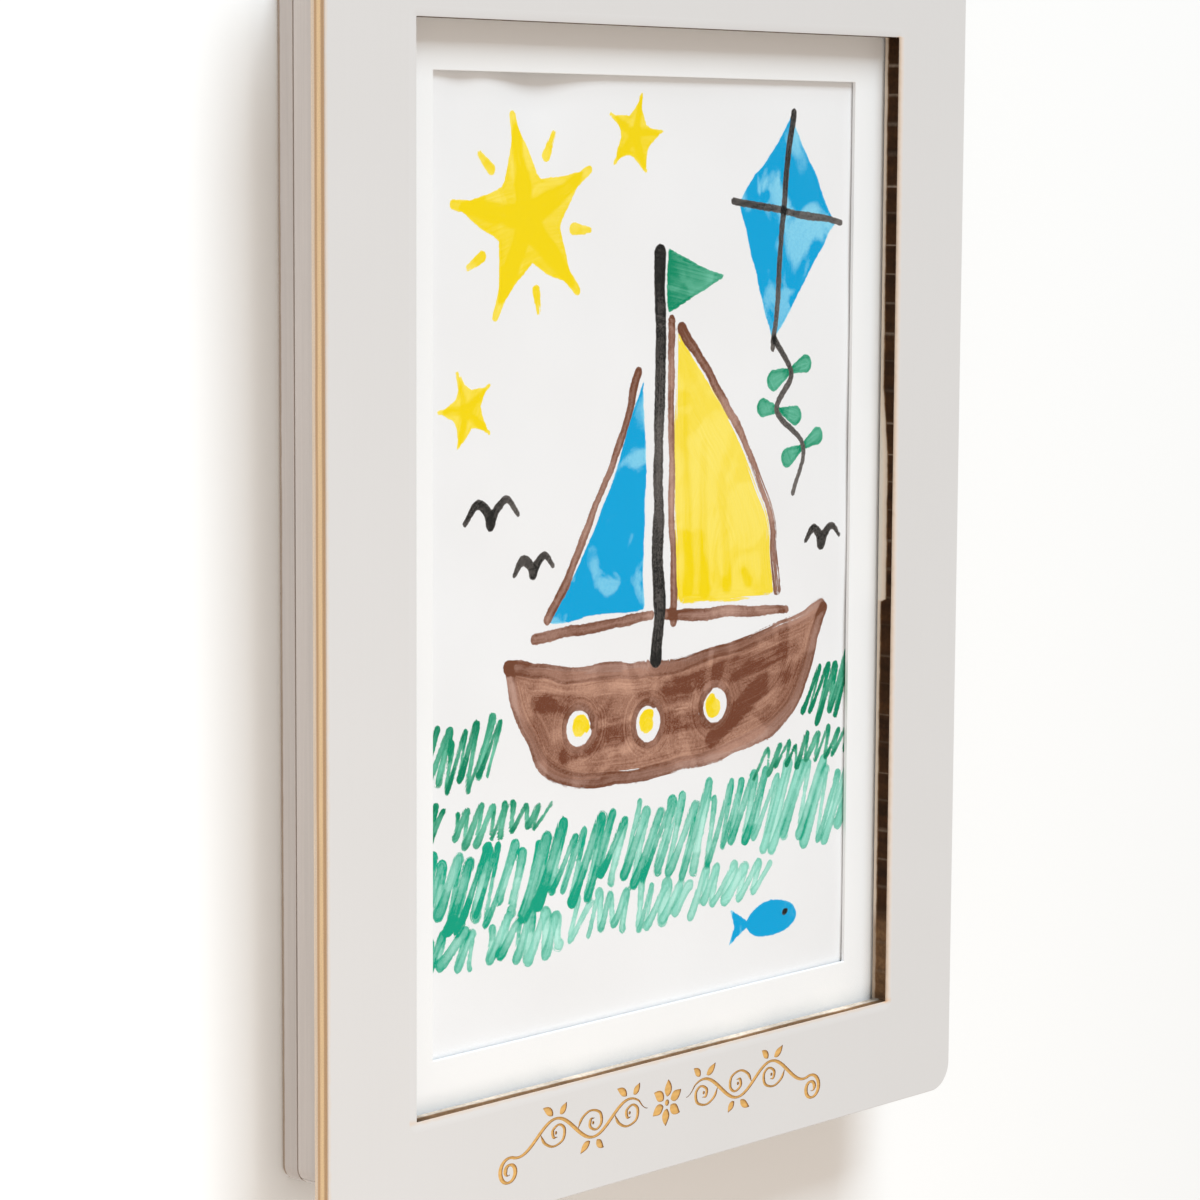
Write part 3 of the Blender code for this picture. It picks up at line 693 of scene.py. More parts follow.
def engraved_wood(name, colour, dark_share):
    """Birch under burnt-off paint: tan, with the fine lines that the scanning beam leaves."""
    scan_pitch = 0.25 * MM
    patch_size = 3 * MM
    material, tree, shader, place = new_material(name, 0.72, ior=1.5)
    scan = add(tree, "TexWave", place, Scale=1 / scan_pitch / 20, bands_direction="Z")
    patches = add(tree, "TexNoise", place, Scale=1 / patch_size, Detail=4.0)
    mixed = add(tree, "Math", scan.outputs["Fac"], 0.25, patches, operation="MULTIPLY_ADD")
    tone = add(tree, "MapRange", mixed, 0.3, 0.95)
    burnt = add(tree, "Mix", tone, shade(colour, 1 - dark_share), shade(colour, 1.08), data_type="RGBA")
    bump = add(tree, "Bump", Height=mixed, Strength=0.5, Distance=0.03 * MM)
    feed(tree, shader, burnt, normal=bump)
    return material


def mat_card(name, colour):
    """Mat card: matt white paper-faced board with a faint felt texture, drawn as coarse as it shows."""
    felt_size = 0.8 * MM
    cloud_size = 30 * MM
    material, tree, shader, place = new_material(name, 0.9, gloss=0.25)
    felt = add(tree, "TexNoise", place, Scale=1 / felt_size, Detail=4.0, Roughness=0.6)
    clouds = add(tree, "TexNoise", place, Scale=1 / cloud_size, Detail=2.0)
    tone = add(tree, "Mix", clouds, colour, shade(colour, 0.975), data_type="RGBA")
    bump = add(tree, "Bump", Height=felt, Strength=0.4, Distance=0.03 * MM)
    feed(tree, shader, tone, normal=bump)
    return material


def clear_acrylic(name):
    """Clear acrylic sheet: nearly nothing of it shows but a faint gloss and a trace of grey."""
    swirl_size = 35 * MM
    grey, pale_grey = to_linear("a3b3ac"), to_linear("b4c2bc")
    material, tree, shader, place = new_material(name, 0.04, ior=1.49)
    shader.inputs["Alpha"].default_value = 0.01
    swirls = add(tree, "TexNoise", place, Scale=1 / swirl_size, Detail=1.0)
    tone = add(tree, "Mix", swirls, grey, pale_grey, data_type="RGBA")
    haze = add(tree, "MapRange", swirls, 0.0, 1.0, 0.03, 0.06)
    feed(tree, shader, tone, roughness=haze)
    return material


def backing_hardboard(name, colour):
    """Pressed board: brown fibres of all tones laid at random."""
    fibre_size = 0.7 * MM
    material, tree, shader, place = new_material(name, 0.8, ior=1.45)
    flat = add(tree, "Mapping", place, Scale=(1.0, 1.0, 0.45))
    fibres = add(tree, "TexNoise", flat, Scale=1 / fibre_size, Detail=6.0, Roughness=0.75, Distortion=0.6)
    tones = add(tree, "ValToRGB", fibres, stops=[
        (0.30, shade(colour, 0.62)), (0.46, shade(colour, 0.92)), (0.60, shade(colour, 1.08)),
        (0.74, shade(colour, 1.4))])
    bump = add(tree, "Bump", Height=fibres, Strength=0.6, Distance=0.08 * MM)
    feed(tree, shader, tones, normal=bump)
    return material


def bare_pine(name, colour, along):
    """Planed pine, unpainted: soft pale wood with darker summer lines along its length."""
    line_width, line_length = 1.6 * MM, 90 * MM
    pore_width, pore_length = 0.2 * MM, 6 * MM
    material, tree, shader, place = new_material(name, 0.58, ior=1.5)
    long_way = add(tree, "Mapping", place, Scale=grain_scale(along, line_width, line_length))
    lines = add(tree, "TexNoise", long_way, Scale=1.0, Detail=2.0, Distortion=0.4)
    short_way = add(tree, "Mapping", place, Scale=grain_scale(along, pore_width, pore_length))
    pores = add(tree, "TexNoise", short_way, Scale=1.0, Detail=2.0)
    tones = add(tree, "ValToRGB", lines, stops=[
        (0.30, shade(colour, 1.12)), (0.52, colour), (0.60, shade(colour, 0.72)),
        (0.70, shade(colour, 0.98))])
    flecks = add(tree, "MapRange", pores, 0.35, 0.65, 0.86, 1.04)
    tinted = add(tree, "VectorMath", tones, flecks, operation="SCALE")
    bump = add(tree, "Bump", Height=pores, Strength=0.5, Distance=0.05 * MM)
    feed(tree, shader, tinted, normal=bump)
    return material


def plated_metal(name, colour, roughness, mottle_size, mottle):
    """Plated steel: bright metal with faint patches where the bath lay thicker, and fine scratches."""
    scratch_width, scratch_length = 0.12 * MM, 5 * MM
    material, tree, shader, place = new_material(name, roughness, metallic=1.0)
    patches = add(tree, "TexNoise", place, Scale=1 / mottle_size, Detail=3.0)
    tone = add(tree, "Mix", patches, shade(colour, 1 + mottle / 2), shade(colour, 1 - mottle),
               data_type="RGBA")
    turned = add(tree, "Mapping", place, Rotation=(0, radians(32), 0),
                 Scale=(1 / scratch_length, 1 / scratch_width, 1 / scratch_width))
    scratches = add(tree, "TexNoise", turned, Scale=1.0, Detail=2.0)
    dull = add(tree, "MapRange", scratches, 0.35, 0.7, roughness - 0.06, roughness + 0.12)
    bump = add(tree, "Bump", Height=scratches, Strength=0.25, Distance=0.01 * MM)
    feed(tree, shader, tone, normal=bump, roughness=dull)
    return material


# Cover plate

def calligraphic(line, thin, thick):
    """Half widths of a broad nib's stroke: thick where the line runs down, thin where it runs across.

    They grow with the line's steepness to the power of one and a half, and taper to a quarter over the
    last twelfth at both ends.
    """
    slope = np.gradient(line, axis=0)
    steep = np.abs(slope[:, 1]) / np.linalg.norm(slope, axis=1)
    share = np.linspace(0, 1, len(line))
    ends = np.clip(np.minimum(share, 1 - share) * 12, 0.25, 1)
    return (thin + (thick - thin) * steep ** 1.5) / 2 * ends


def spiral(centre, radius_from, radius_to, angle_from, angle_to, steps):
    """Points whose distance from a centre changes evenly with the angle."""
    share = np.linspace(0, 1, steps)
    radius = radius_from + (radius_to - radius_from) * share
    angle = angle_from + (angle_to - angle_from) * share
    return np.asarray(centre) + radius[:, None] * np.stack([np.cos(angle), np.sin(angle)], axis=1)


def leaf(foot, angle, length, width):
    """Line and half widths of a leaf.

    Its heading turns evenly by half a radian from foot to tip. Its width is half a sine wave, fullest a
    little nearer the foot.
    """
    share = np.linspace(0, 1, RIBBON_STEPS)
    bend = angle + 0.5 * (share - 0.5)
    steps = np.stack([np.cos(bend), np.sin(bend)], axis=1) * length / (RIBBON_STEPS - 1)
    line = np.asarray(foot) + np.cumsum(steps, axis=0) - steps[0]
    swell = np.sin(np.pi * share ** 0.8) ** 0.9
    return line, np.maximum(width / 2 * swell, LEAST_CUT)


def berry(x, z, radius):
    """Line and half widths of a round dot, as high at each place across it as a circle is there."""
    share = np.linspace(-1, 1, RIBBON_STEPS)
    line = np.stack([x + radius * share, np.full(RIBBON_STEPS, z)], axis=1)
    return line, np.maximum(radius * np.sqrt(1 - share ** 2), LEAST_CUT)


def through(points, steps=14):
    """A smooth line through points, with a cubic for each stretch.

    Its slope at a point is half the step from the point before to the point after.
    """
    p = np.asarray(points, float)
    p = np.concatenate([[2 * p[0] - p[1]], p, [2 * p[-1] - p[-2]]])
    t = np.linspace(0, 1, steps, endpoint=False)[:, None]
    pieces = []
    for a, b, c, d in zip(p[:-3], p[1:-2], p[2:-1], p[3:]):
        pieces.append(b + (c - a) / 2 * t + (a - 2.5 * b + 2 * c - d / 2) * t ** 2
                      + (-a + 3 * b - 3 * c + d) / 2 * t ** 3)
    return np.concatenate(pieces + [p[-2:-1]])


def vine_stem(wave_from, wave_to, rise, period):
    """Line of one half of the vine: a sine wave that swells from nothing and ends in a spiral."""
    swell_in = 4 * MM
    spiral_end, spiral_turn = 0.9 * MM, 3.2 * np.pi
    x = np.linspace(wave_from, wave_to, 110)
    swing = rise * np.sin(2 * np.pi * (x - wave_from) / period)
    wave = np.stack([x, swing * np.clip((x - wave_from) / swell_in, 0, 1)], axis=1)
    heading = np.arctan2(*(wave[-1] - wave[-2])[::-1])
    way = np.sign(np.sin(heading))
    centre = wave[-1] + way * rise * np.array([np.sin(heading), -np.cos(heading)])
    start = heading + way * np.pi / 2
    curl = spiral(centre, rise, spiral_end, start, start - way * spiral_turn, 80)
    return np.concatenate([wave, curl[1:]])


def ornament_strokes(reach):
    """Strokes of a scrolling vine with a flower in its middle, in sets about its own middle.

    Each half is a sine wave that ends in a spiral. A curl fills the bay under each crest, two leaves grow
    outwards from each crest, and a berry lies in each curl. No stroke crosses another of its own set.
    """
    rise, period = 4.4 * MM, 33 * MM
    flower, flower_gap = 7.4 * MM, 1.6 * MM
    petals, petal_foot, petal_width = 6, 1.9 * MM, 3.4 * MM
    thin, thick = 0.85 * MM, 1.75 * MM
    curl_shape = np.array([
        (7.0, 0.9), (5.0, -2.3), (1.2, -4.0), (-2.9, -2.7), (-3.6, 0.6), (-1.3, 2.3), (1.4, 1.0), (1.1, -1.2),
        (-0.6, -1.4),
    ]) * MM
    # A crest's two leaves: place of the foot beside the crest, lean, length
    leaf_pair = ((1.4 * MM, 0.62, 5.4 * MM), (-1.6 * MM, 2.35, 4.4 * MM))
    leaf_gap, leaf_width = 1.1 * MM, 2.5 * MM
    berry_shift, berry_radius, heart_radius = 0.1 * MM, 0.55 * MM, 1.0 * MM
    wave_from, wave_to = flower + flower_gap, reach - 2 * rise
    stems, curls, leaves, berries = [], [], [], []
    for side in (1, -1):
        stem = vine_stem(wave_from, wave_to, rise, period) * (side, 1)
        stems.append((stem, calligraphic(stem, thin, thick)))
        for bay in range(int((wave_to - wave_from) / (period / 2))):
            up = 1 if bay % 2 == 0 else -1
            middle = wave_from + (bay + 0.5) * period / 2
            curl = through(curl_shape * (1, up) + (middle, 0), 8) * (side, 1)
            curls.append((curl, calligraphic(curl, 0.8 * thin, 0.75 * thick)))
            berries.append(berry(side * (middle + berry_shift), 0, berry_radius))
            for foot, lean, length in leaf_pair:
                angle = up * (lean if side > 0 else np.pi - lean)
                place = (side * (middle + foot), up * (rise + leaf_gap))
                leaves.append(leaf(place, angle, length, leaf_width))
    for petal in range(petals):
        angle = (2 * petal + 1) * np.pi / petals
        foot = np.array([np.cos(angle), np.sin(angle)]) * petal_foot
        leaves.append(leaf(foot, angle - 0.12, flower - petal_foot, petal_width))
    berries.append(berry(0, 0, heart_radius))
    return {"stems": stems, "curls": curls, "leaves": leaves, "berries": berries}


def engraving_cutters(cover, materials):
    """Closed cutters for the ornament, one for each set of strokes, each a little deeper than the last."""
    set_step = 0.02 * MM
    middle = np.array([0.0, PLATE_LOW.z + cover.border - cover.engraving_drop])
    top = PLATE_LOW.y - OVERRUN
    floor = PLATE_LOW.y + cover.engraving_depth
    cutters = []
    for name, strokes in ornament_strokes(cover.engraving_reach).items():
        points, faces = joined([ribbon(line + middle, widths, top, floor) for line, widths in strokes])
        deep = np.array([np.all(points[face][:, 1] > PLATE_LOW.y) for face in faces])
        kinds = np.where(deep, ENGRAVED_FLOOR, ENGRAVED_WALL)
        cutters.append(make_piece(name, points, faces, materials, kinds))
        floor += set_step
    return cutters


def magnet_wells(nodes, materials):
    """Round cutters for the magnets' wells in the plate's back, each a little wider than its magnet."""
    clearance = 0.15 * MM
    wells = []
    for node in nodes:
        low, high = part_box(node)
        radius = (high.x - low.x) / 2 + clearance
        points, faces = turned_mesh([(radius, low.y - clearance), (radius, high.y + OVERRUN)])
        middle = (low + high) / 2
        wells.append((points + (middle.x, 0, middle.z), faces))
    points, faces = joined(wells)
    return make_piece("magnet_wells", points, faces, materials)


def make_front_plate(cover):
    """The plywood plate with its window, burnt edges, ornament and magnet wells."""
    painted = satin_paint("satin_paint_on_birch_plywood", cover.paint, along="Z", streak=0.004)
    raw = plywood_edge("raw_birch_plywood_edge", cover)
    burnt = charred_edge("laser_charred_plywood", cover)
    floor = engraved_wood("laser_engraved_birch", cover.engraved, dark_share=0.16)
    wall = engraved_wood("scorched_engraving_wall", shade(cover.scorch, 1.15), dark_share=0.3)
    browned = browned_paint("heat_browned_paint", cover)
    # Warms the paint along the plate's left outer edge only: partly thin paint at the arris, partly painted
    # light caught on the rounded edge
    tint_near(painted, "X", PLATE_LOW.x, reach=1.1 * MM, tint=(1.04, 0.91, 0.79))
    tint_near(browned, "Z", PLATE_LOW.z + cover.border, reach=1.2 * MM, tint=(1.02, 0.88, 0.76))
    materials = [painted, raw, burnt, browned, floor, wall]
    window = (PLATE_HIGH.x - cover.border, PLATE_HIGH.z - cover.border, cover.window_radius)
    outside = (PLATE_HIGH.x, PLATE_HIGH.z, cover.corner_radius)
    faces_y = (PLATE_LOW.y, PLATE_HIGH.y)
    rounding = cover.edge_round / 2
    plate = flat_ring("plywood_cover_plate", window, outside, faces_y, rounding, cover.fringe, materials)
    magnets = [node for node in frame["nodes"] if node.startswith("cover_magnet")]
    wells = magnet_wells(magnets, materials)
    carve(plate, *engraving_cutters(cover, materials), wells, smooth_angle=40)
    seat(plate, "front_plate", slot="painted_plywood")


# Box

def make_rails(box):
    """The four mitred rails, with their long edges sanded round."""
    # The rails' paint is the lighter of the box's two colours: painted light for the light that the wall
    # bounces onto them
    paints = {
        "Z": satin_paint("satin_paint_on_upright_rail", box.paint, along="Z", streak=0.05),
        "X": satin_paint("satin_paint_on_level_rail", box.paint, along="X", streak=0.05),
    }
    for side, along in SIDES.items():
        node = "rail_" + side
        rail = softened_copy(node, "painted_" + node, box.edge_round, [paints[along]], steps=3)
        seat(rail, node, slot="painted_rail")


def bare_and_wall_shade_at_back(paint, box):
    """Paints the rearmost strip of the panel's sides and the rim of its back brown: partly bare wood where
    the paint stops short, partly painted contact shade where the panel meets the wall.
    """
    wander = 6 * MM
    _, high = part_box("back_panel")
    tree = paint.node_tree
    shader = tree.nodes["Principled BSDF"]
    painted = shader.inputs["Base Color"].links[0].from_socket
    place = add(tree, "TexCoord").outputs["Object"]
    border = add(tree, "TexNoise", place, Scale=1 / wander, Detail=4.0)
    apart = add(tree, "SeparateXYZ", place)
    pushed = add(tree, "Math", border, 0.6 * box.bare_and_shaded_strip, apart.outputs[1], operation="MULTIPLY_ADD")
    # bare marks the brown strip: bare wood, and painted contact shade where the panel meets the wall
    bare = add(tree, "MapRange", pushed, -0.9 * box.bare_and_shaded_strip, -0.5 * box.bare_and_shaded_strip)
    for axis, reach in ((0, high.x), (2, high.z)):
        out = add(tree, "Math", apart.outputs[axis], operation="ABSOLUTE")
        side = add(tree, "MapRange", out, reach - 1.6 * box.bare_and_shaded_strip, reach - 1.2 * box.bare_and_shaded_strip)
        rim = side if axis == 0 else add(tree, "Math", rim, side, operation="MAXIMUM")
    bare = add(tree, "Math", bare, rim, operation="MULTIPLY")
    both = add(tree, "Mix", bare, painted, box.bare_edge_and_wall_shade, data_type="RGBA")
    feed(tree, shader, both)


def make_back_panel(box):
    """The panel on the wall, painted a darker colour than the rails as painted shade, and brown along its
    rearmost strip as bare wood and painted contact shade.
    """
    paint = satin_paint("satin_paint_on_back_panel", box.panel_paint_shaded, along="Z", streak=0.07)
    bare_and_wall_shade_at_back(paint, box)
    panel = softened_copy("back_panel", "painted_back_panel", box.edge_round, [paint], steps=3)
    seat(panel, "back_panel", slot="painted_plywood")


# Picture

def make_mat(picture):
    """The mat: a card ring, cut square at its opening."""
    border = bpy.context.scene.artframe_cover.border
    half_x = PLATE_HIGH.x - border - picture.mat_shown_x
    half_z = PLATE_HIGH.z - border - picture.mat_shown_z
    window = (half_x, half_z, 2 * picture.cut_round)
    outside = (MAT_HIGH.x, MAT_HIGH.z, 4 * picture.cut_round)
    face = mat_card("white_mat_card", picture.card)
    core = mat_card("white_card_core", picture.card_core)
    mat = flat_ring("white_mat", window, outside, (MAT_LOW.y, MAT_HIGH.y), picture.cut_round,
                    4 * picture.cut_round, [face, core, core, face])
    seat(mat, "mat_board", slot="white_card")


def smooth_noise(at, seed):
    """Random values at whole numbers, joined by smooth steps."""
    knots = np.random.default_rng(seed).uniform(-1, 1, int(np.max(at)) + 2)
    low = np.floor(at).astype(int)
    part = at - low
    ease = part * part * (3 - 2 * part)
    return knots[low] * (1 - ease) + knots[low + 1] * ease


def run_along(line):
    """Distance from a line's start to each of its points."""
    return np.concatenate([[0], np.cumsum(np.linalg.norm(np.diff(line, axis=0), axis=1))])


# State of a point that a paint doesn't reach: millimetres outside it, load, dryness
UNPAINTED = (20.0, 0, 0)


class Sheet:
    """The painted sheet as a grid of points in millimetres about its middle, and the paint on it.

    Each paint keeps, at every point, how far the point is outside the painted area (below zero inside),
    how much paint lies there and how dry the brush was. brush holds where a point is in the stroke that
    covers it: across the stroke, along it, and a number of the stroke's own.
    """

    def __init__(self, half_x, half_z, columns, rows):
        x, z = np.meshgrid(np.linspace(-half_x, half_x, columns), np.linspace(-half_z, half_z, rows))
        self.points = np.stack([x.ravel(), z.ravel()], axis=1)
        self.paints = {}
        self.brush = np.zeros((len(self.points), 3))
        self.strokes = 0

    def near(self, shape, reach):
        """Numbers of the points within reach of the box round a shape."""
        inside = (self.points > shape.min(0) - reach) & (self.points < shape.max(0) + reach)
        return np.flatnonzero(np.all(inside, axis=1))

    def lay(self, name, spots, distance, load, dry, across, along):
        """Adds one stroke or wash: the nearer edge counts, and paint adds up where strokes cross."""
        # The strokes' own numbers lie far enough apart for noise to differ from one to the next
        number_step = 7.3
        self.strokes += 1
        if name not in self.paints:
            self.paints[name] = np.tile(UNPAINTED, (len(self.points), 1))
        state = self.paints[name]
        over = distance < np.maximum(state[spots, 0], 0)
        stroke = np.full(len(across), self.strokes * number_step)
        self.brush[spots[over]] = np.stack([across, along, stroke], axis=1)[over]
        state[spots, 2] = np.where(over, dry, state[spots, 2])
        covered = np.clip(0.5 - distance, 0, 1)
        state[spots, 1] += covered * load
        state[spots, 0] = np.minimum(state[spots, 0], distance)

    def stroke(self, name, line, widths, loads=(1.0, 0.8), dry=(0.0, 0.0)):
        """A brush stroke: distance to the nearest spot of its line, less half the brush's width there.

        The width, the load of paint and the dryness of the brush change evenly along the line, and the
        width wavers a little with the hand's pressure.
        """
        waver, waver_length, beyond = 0.12, 6, 4
        line = np.asarray(line, float)
        step = np.diff(line, axis=0)
        lengths = np.hypot(step[:, 0], step[:, 1])
        run = run_along(line)
        share = run / run[-1]
        half, load, dryness = (np.interp(share, np.linspace(0, 1, len(v)), v) for v in (widths, loads, dry))
        half = half / 2 * (1 + waver * smooth_noise(run / waver_length, self.strokes))
        spots = self.near(line, half.max() + beyond)
        away = self.points[spots][:, None] - line[:-1]
        part = np.clip((away * step).sum(2) / lengths ** 2, 0, 1)
        offset = away - part[..., None] * step
        gap = np.hypot(offset[..., 0], offset[..., 1]) - (half[:-1] + part * np.diff(half))
        best = gap.argmin(1)
        rows = np.arange(len(best))
        part, offset, step = part[rows, best], offset[rows, best], step[best]
        side = np.sign(step[:, 0] * offset[:, 1] - step[:, 1] * offset[:, 0])
        across = side * np.hypot(offset[:, 0], offset[:, 1])
        along = run[best] + part * lengths[best]
        self.lay(name, spots, gap[rows, best], load[best], dryness[best], across, along)

    def area(self, name, outline, loads=(1.0, 1.0), direction=0.0, bend=0.0, dry=0.0):
        """A wash: distance to the nearest side of its outline, below zero inside.

        The brush runs in one direction, in arcs whose bend is given per millimetre. The load of paint
        changes along that direction.
        """
        beyond = 5
        corners = np.asarray(outline, float)
        spots = self.near(corners, beyond)
        points = self.points[spots]
        step = np.roll(corners, -1, axis=0) - corners
        away = points[:, None] - corners
        part = np.clip((away * step).sum(2) / (step ** 2).sum(1), 0, 1)
        offset = away - part[..., None] * step
        distance = np.hypot(offset[..., 0], offset[..., 1]).min(1)
        x, z = points[:, None, 0], points[:, None, 1]
        ahead = corners + step
        crossing = (corners[:, 1] > z) != (ahead[:, 1] > z)
        rise = np.where(step[:, 1] == 0, 1, step[:, 1])
        meets = x < corners[:, 0] + (z - corners[:, 1]) * step[:, 0] / rise
        inside = (crossing & meets).sum(1) % 2 == 1
        distance = np.where(inside, -distance, distance)
        along = points @ (np.cos(direction), np.sin(direction))
        across = points @ (-np.sin(direction), np.cos(direction)) + bend * along ** 2
        ends = corners @ (np.cos(direction), np.sin(direction))
        load = np.interp(along, np.linspace(ends.min(), ends.max(), len(loads)), loads)
        self.lay(name, spots, distance, load, dry, across, along)

    def leave_bare(self, name, centre, radius):
        """Keeps a round spot free of a paint that is there already."""
        state = self.paints[name]
        inside = radius - np.hypot(*(self.points - centre).T)
        state[:, 0] = np.maximum(state[:, 0], inside)
        state[inside > 0, 1] = 0


def by_hand(line, shake, seed):
    """A line as a small hand draws it: smooth noise of two sizes pushes each point about."""
    slow_length, quick_length, quick_share = 15, 5, 0.35
    run = run_along(line)
    moved = np.array(line, float)
    for axis in (0, 1):
        slow = smooth_noise(run / slow_length, (seed, axis))
        quick = smooth_noise(run / quick_length, (seed, axis, 1))
        moved[:, axis] += shake * (slow + quick_share * quick)
    return moved


def even(points, spacing=3.0, close=False):
    """Straight lines through points, with a point every few millimetres."""
    p = np.asarray(points, float)
    if close:
        p = np.concatenate([p, p[:1]])
    run = run_along(p)
    at = np.linspace(0, run[-1], max(2, int(run[-1] / spacing)))
    line = np.stack([np.interp(at, run, p[:, 0]), np.interp(at, run, p[:, 1])], axis=1)
    return line[:-1] if close else line


def star_outline(centre, outer, inner, turn):
    """Ten corners of a five-pointed star, long and short by turns."""
    angles = turn + np.pi / 2 + np.arange(10) * np.pi / 5
    radius = np.where(np.arange(10) % 2 == 0, outer, inner)
    return np.asarray(centre) + radius[:, None] * np.stack([np.cos(angles), np.sin(angles)], axis=1)


def scribble(left, right, height, pitch, lean, seed):
    """A tight zigzag of the brush: up and down by turns, leaning, with uneven reach and spacing."""
    dice = np.random.default_rng(seed)
    count = max(3, int(abs(right - left) / pitch * 2))
    x = np.linspace(left, right, count) + dice.uniform(-0.28, 0.28, count) * pitch
    reach = height / 2 * dice.uniform(0.55, 1.25, count)
    z = np.where(np.arange(count) % 2 == 0, -reach, reach)
    shift = dice.uniform(-1.2, 1.2, count)
    return through(np.stack([x + lean * z, z + shift], axis=1), LEG_STEPS)


def paint_boat(sheet):
    """A sailing boat: brown hull with portholes, yellow main sail and blue foresail."""
    deck = through([(-62, -31), (-25, -36), (25, -36), (84, -25)])
    keel = through([(84, -25), (66, -57), (28, -68), (-36, -67), (-54, -52), (-62, -31)])
    hull = by_hand(np.concatenate([deck, keel[1:-1]]), 0.6, 11)
    sheet.area("brown_wash", hull, (0.9, 0.6, 0.85, 1.0), 0.25, 0.006, 0.5)
    planks = (((-50, -42), (20, -46), -3), ((-38, -60), (40, -58), 4), ((10, -43), (70, -36), -2),
              ((30, -62), (66, -46), 3))
    for seed, (start, end, bow) in enumerate(planks):
        middle = (np.array(start) + end) / 2 + (0, bow)
        line = by_hand(through([start, middle, end]), 0.8, 400 + seed)
        sheet.stroke("brown_wash", line, (5, 8, 4), (0.5, 0.25), (0.4, 1.0))
    for index, spot in enumerate(((-31, -52), (0, -54), (31, -52))):
        sheet.leave_bare("brown_wash", spot, 6.0)
        turns = by_hand(spiral(spot, 3.0, 0.4, index, index + 9, 24), 0.3, 410 + index)
        sheet.stroke("yellow", turns, (3.2, 2.0), (1.1, 0.8))
        rim = by_hand(spiral(spot, 6.4, 6.9, index, index + 6.6, 30), 0.5, 60 + index)
        sheet.stroke("brown_line", rim, (2.8, 2.0, 2.5), (1.0, 0.6))
    sheet.stroke("brown_line", by_hand(deck, 0.8, 12), (4.4, 5.6, 3.8, 4.6), (1.2, 0.6, 1.0, 0.5), (0, 0.5))
    widths = (4.2, 5.8, 4.2, 5.0, 4.0)
    sheet.stroke("brown_line", by_hand(keel, 0.8, 13), widths, (1.0, 0.55, 1.0, 0.6), (0, 0.3, 0))
    main_leech = through([(12, 66), (38, 38), (55, 6), (60, -19)])
    main = np.concatenate([main_leech, [(13, -18), (11, 20)]])
    sheet.area("yellow", by_hand(even(main, 4, close=True), 0.9, 21), (0.95, 0.6, 0.8), 1.35, 0.004, 0.5)
    for index, x in enumerate((18, 27, 37, 47)):
        line = even([(x, -14), (x - 2, 48 - 2.0 * (x - 18))], 3)
        sheet.stroke("yellow", by_hand(line, 1.0, 420 + index), (4.5, 3.0), (0.45, 0.2), (0.3, 1.0))
    luff = by_hand(even([(10, 70), (11, -23)]), 0.7, 22)
    sheet.stroke("brown_line", luff, (3.4, 2.6, 3.2), (0.9, 0.5, 0.8))
    leech = by_hand(main_leech + (1.8, 0.8), 0.9, 23)
    sheet.stroke("brown_line", leech, (3.8, 2.8, 3.6), (1.1, 0.5, 0.8), (0, 0.5))
    boom = by_hand(even([(7, -21), (66, -24)]), 0.7, 24)
    sheet.stroke("brown_line", boom, (3.4, 3.9, 2.8), (1.0, 0.6, 0.9))
    jib_leech = through([(-3, 53), (-16, 24), (-33, -4), (-44, -19)])
    jib = np.concatenate([jib_leech, [(-2.5, -18), (-2, 20)]])
    sheet.area("blue", by_hand(even(jib, 4, close=True), 0.8, 31), (1.6, 1.5, 1.3), 1.2, 0.003)
    sheet.stroke("brown_line", by_hand(jib_leech + (-2.0, 1.0), 0.9, 32), (3.4, 2.7, 3.6), (1.0, 0.5, 0.9))
    sheet.stroke("brown_line", by_hand(even([(-51, -23), (1, -21)]), 0.6, 33), (3.2, 3.8, 2.9), (1.0, 0.6))
    sheet.stroke("black", by_hand(even([(4.5, -35), (3.8, 90)]), 0.8, 34), (5.6, 4.4, 5.4), (1.2, 0.8, 1.3))
    flag = even([(8, 91), (34, 83), (8, 72)], 3, close=True)
    sheet.area("green", by_hand(flag, 0.8, 35), (1.2, 0.7), -0.2, 0.0, 0.1)


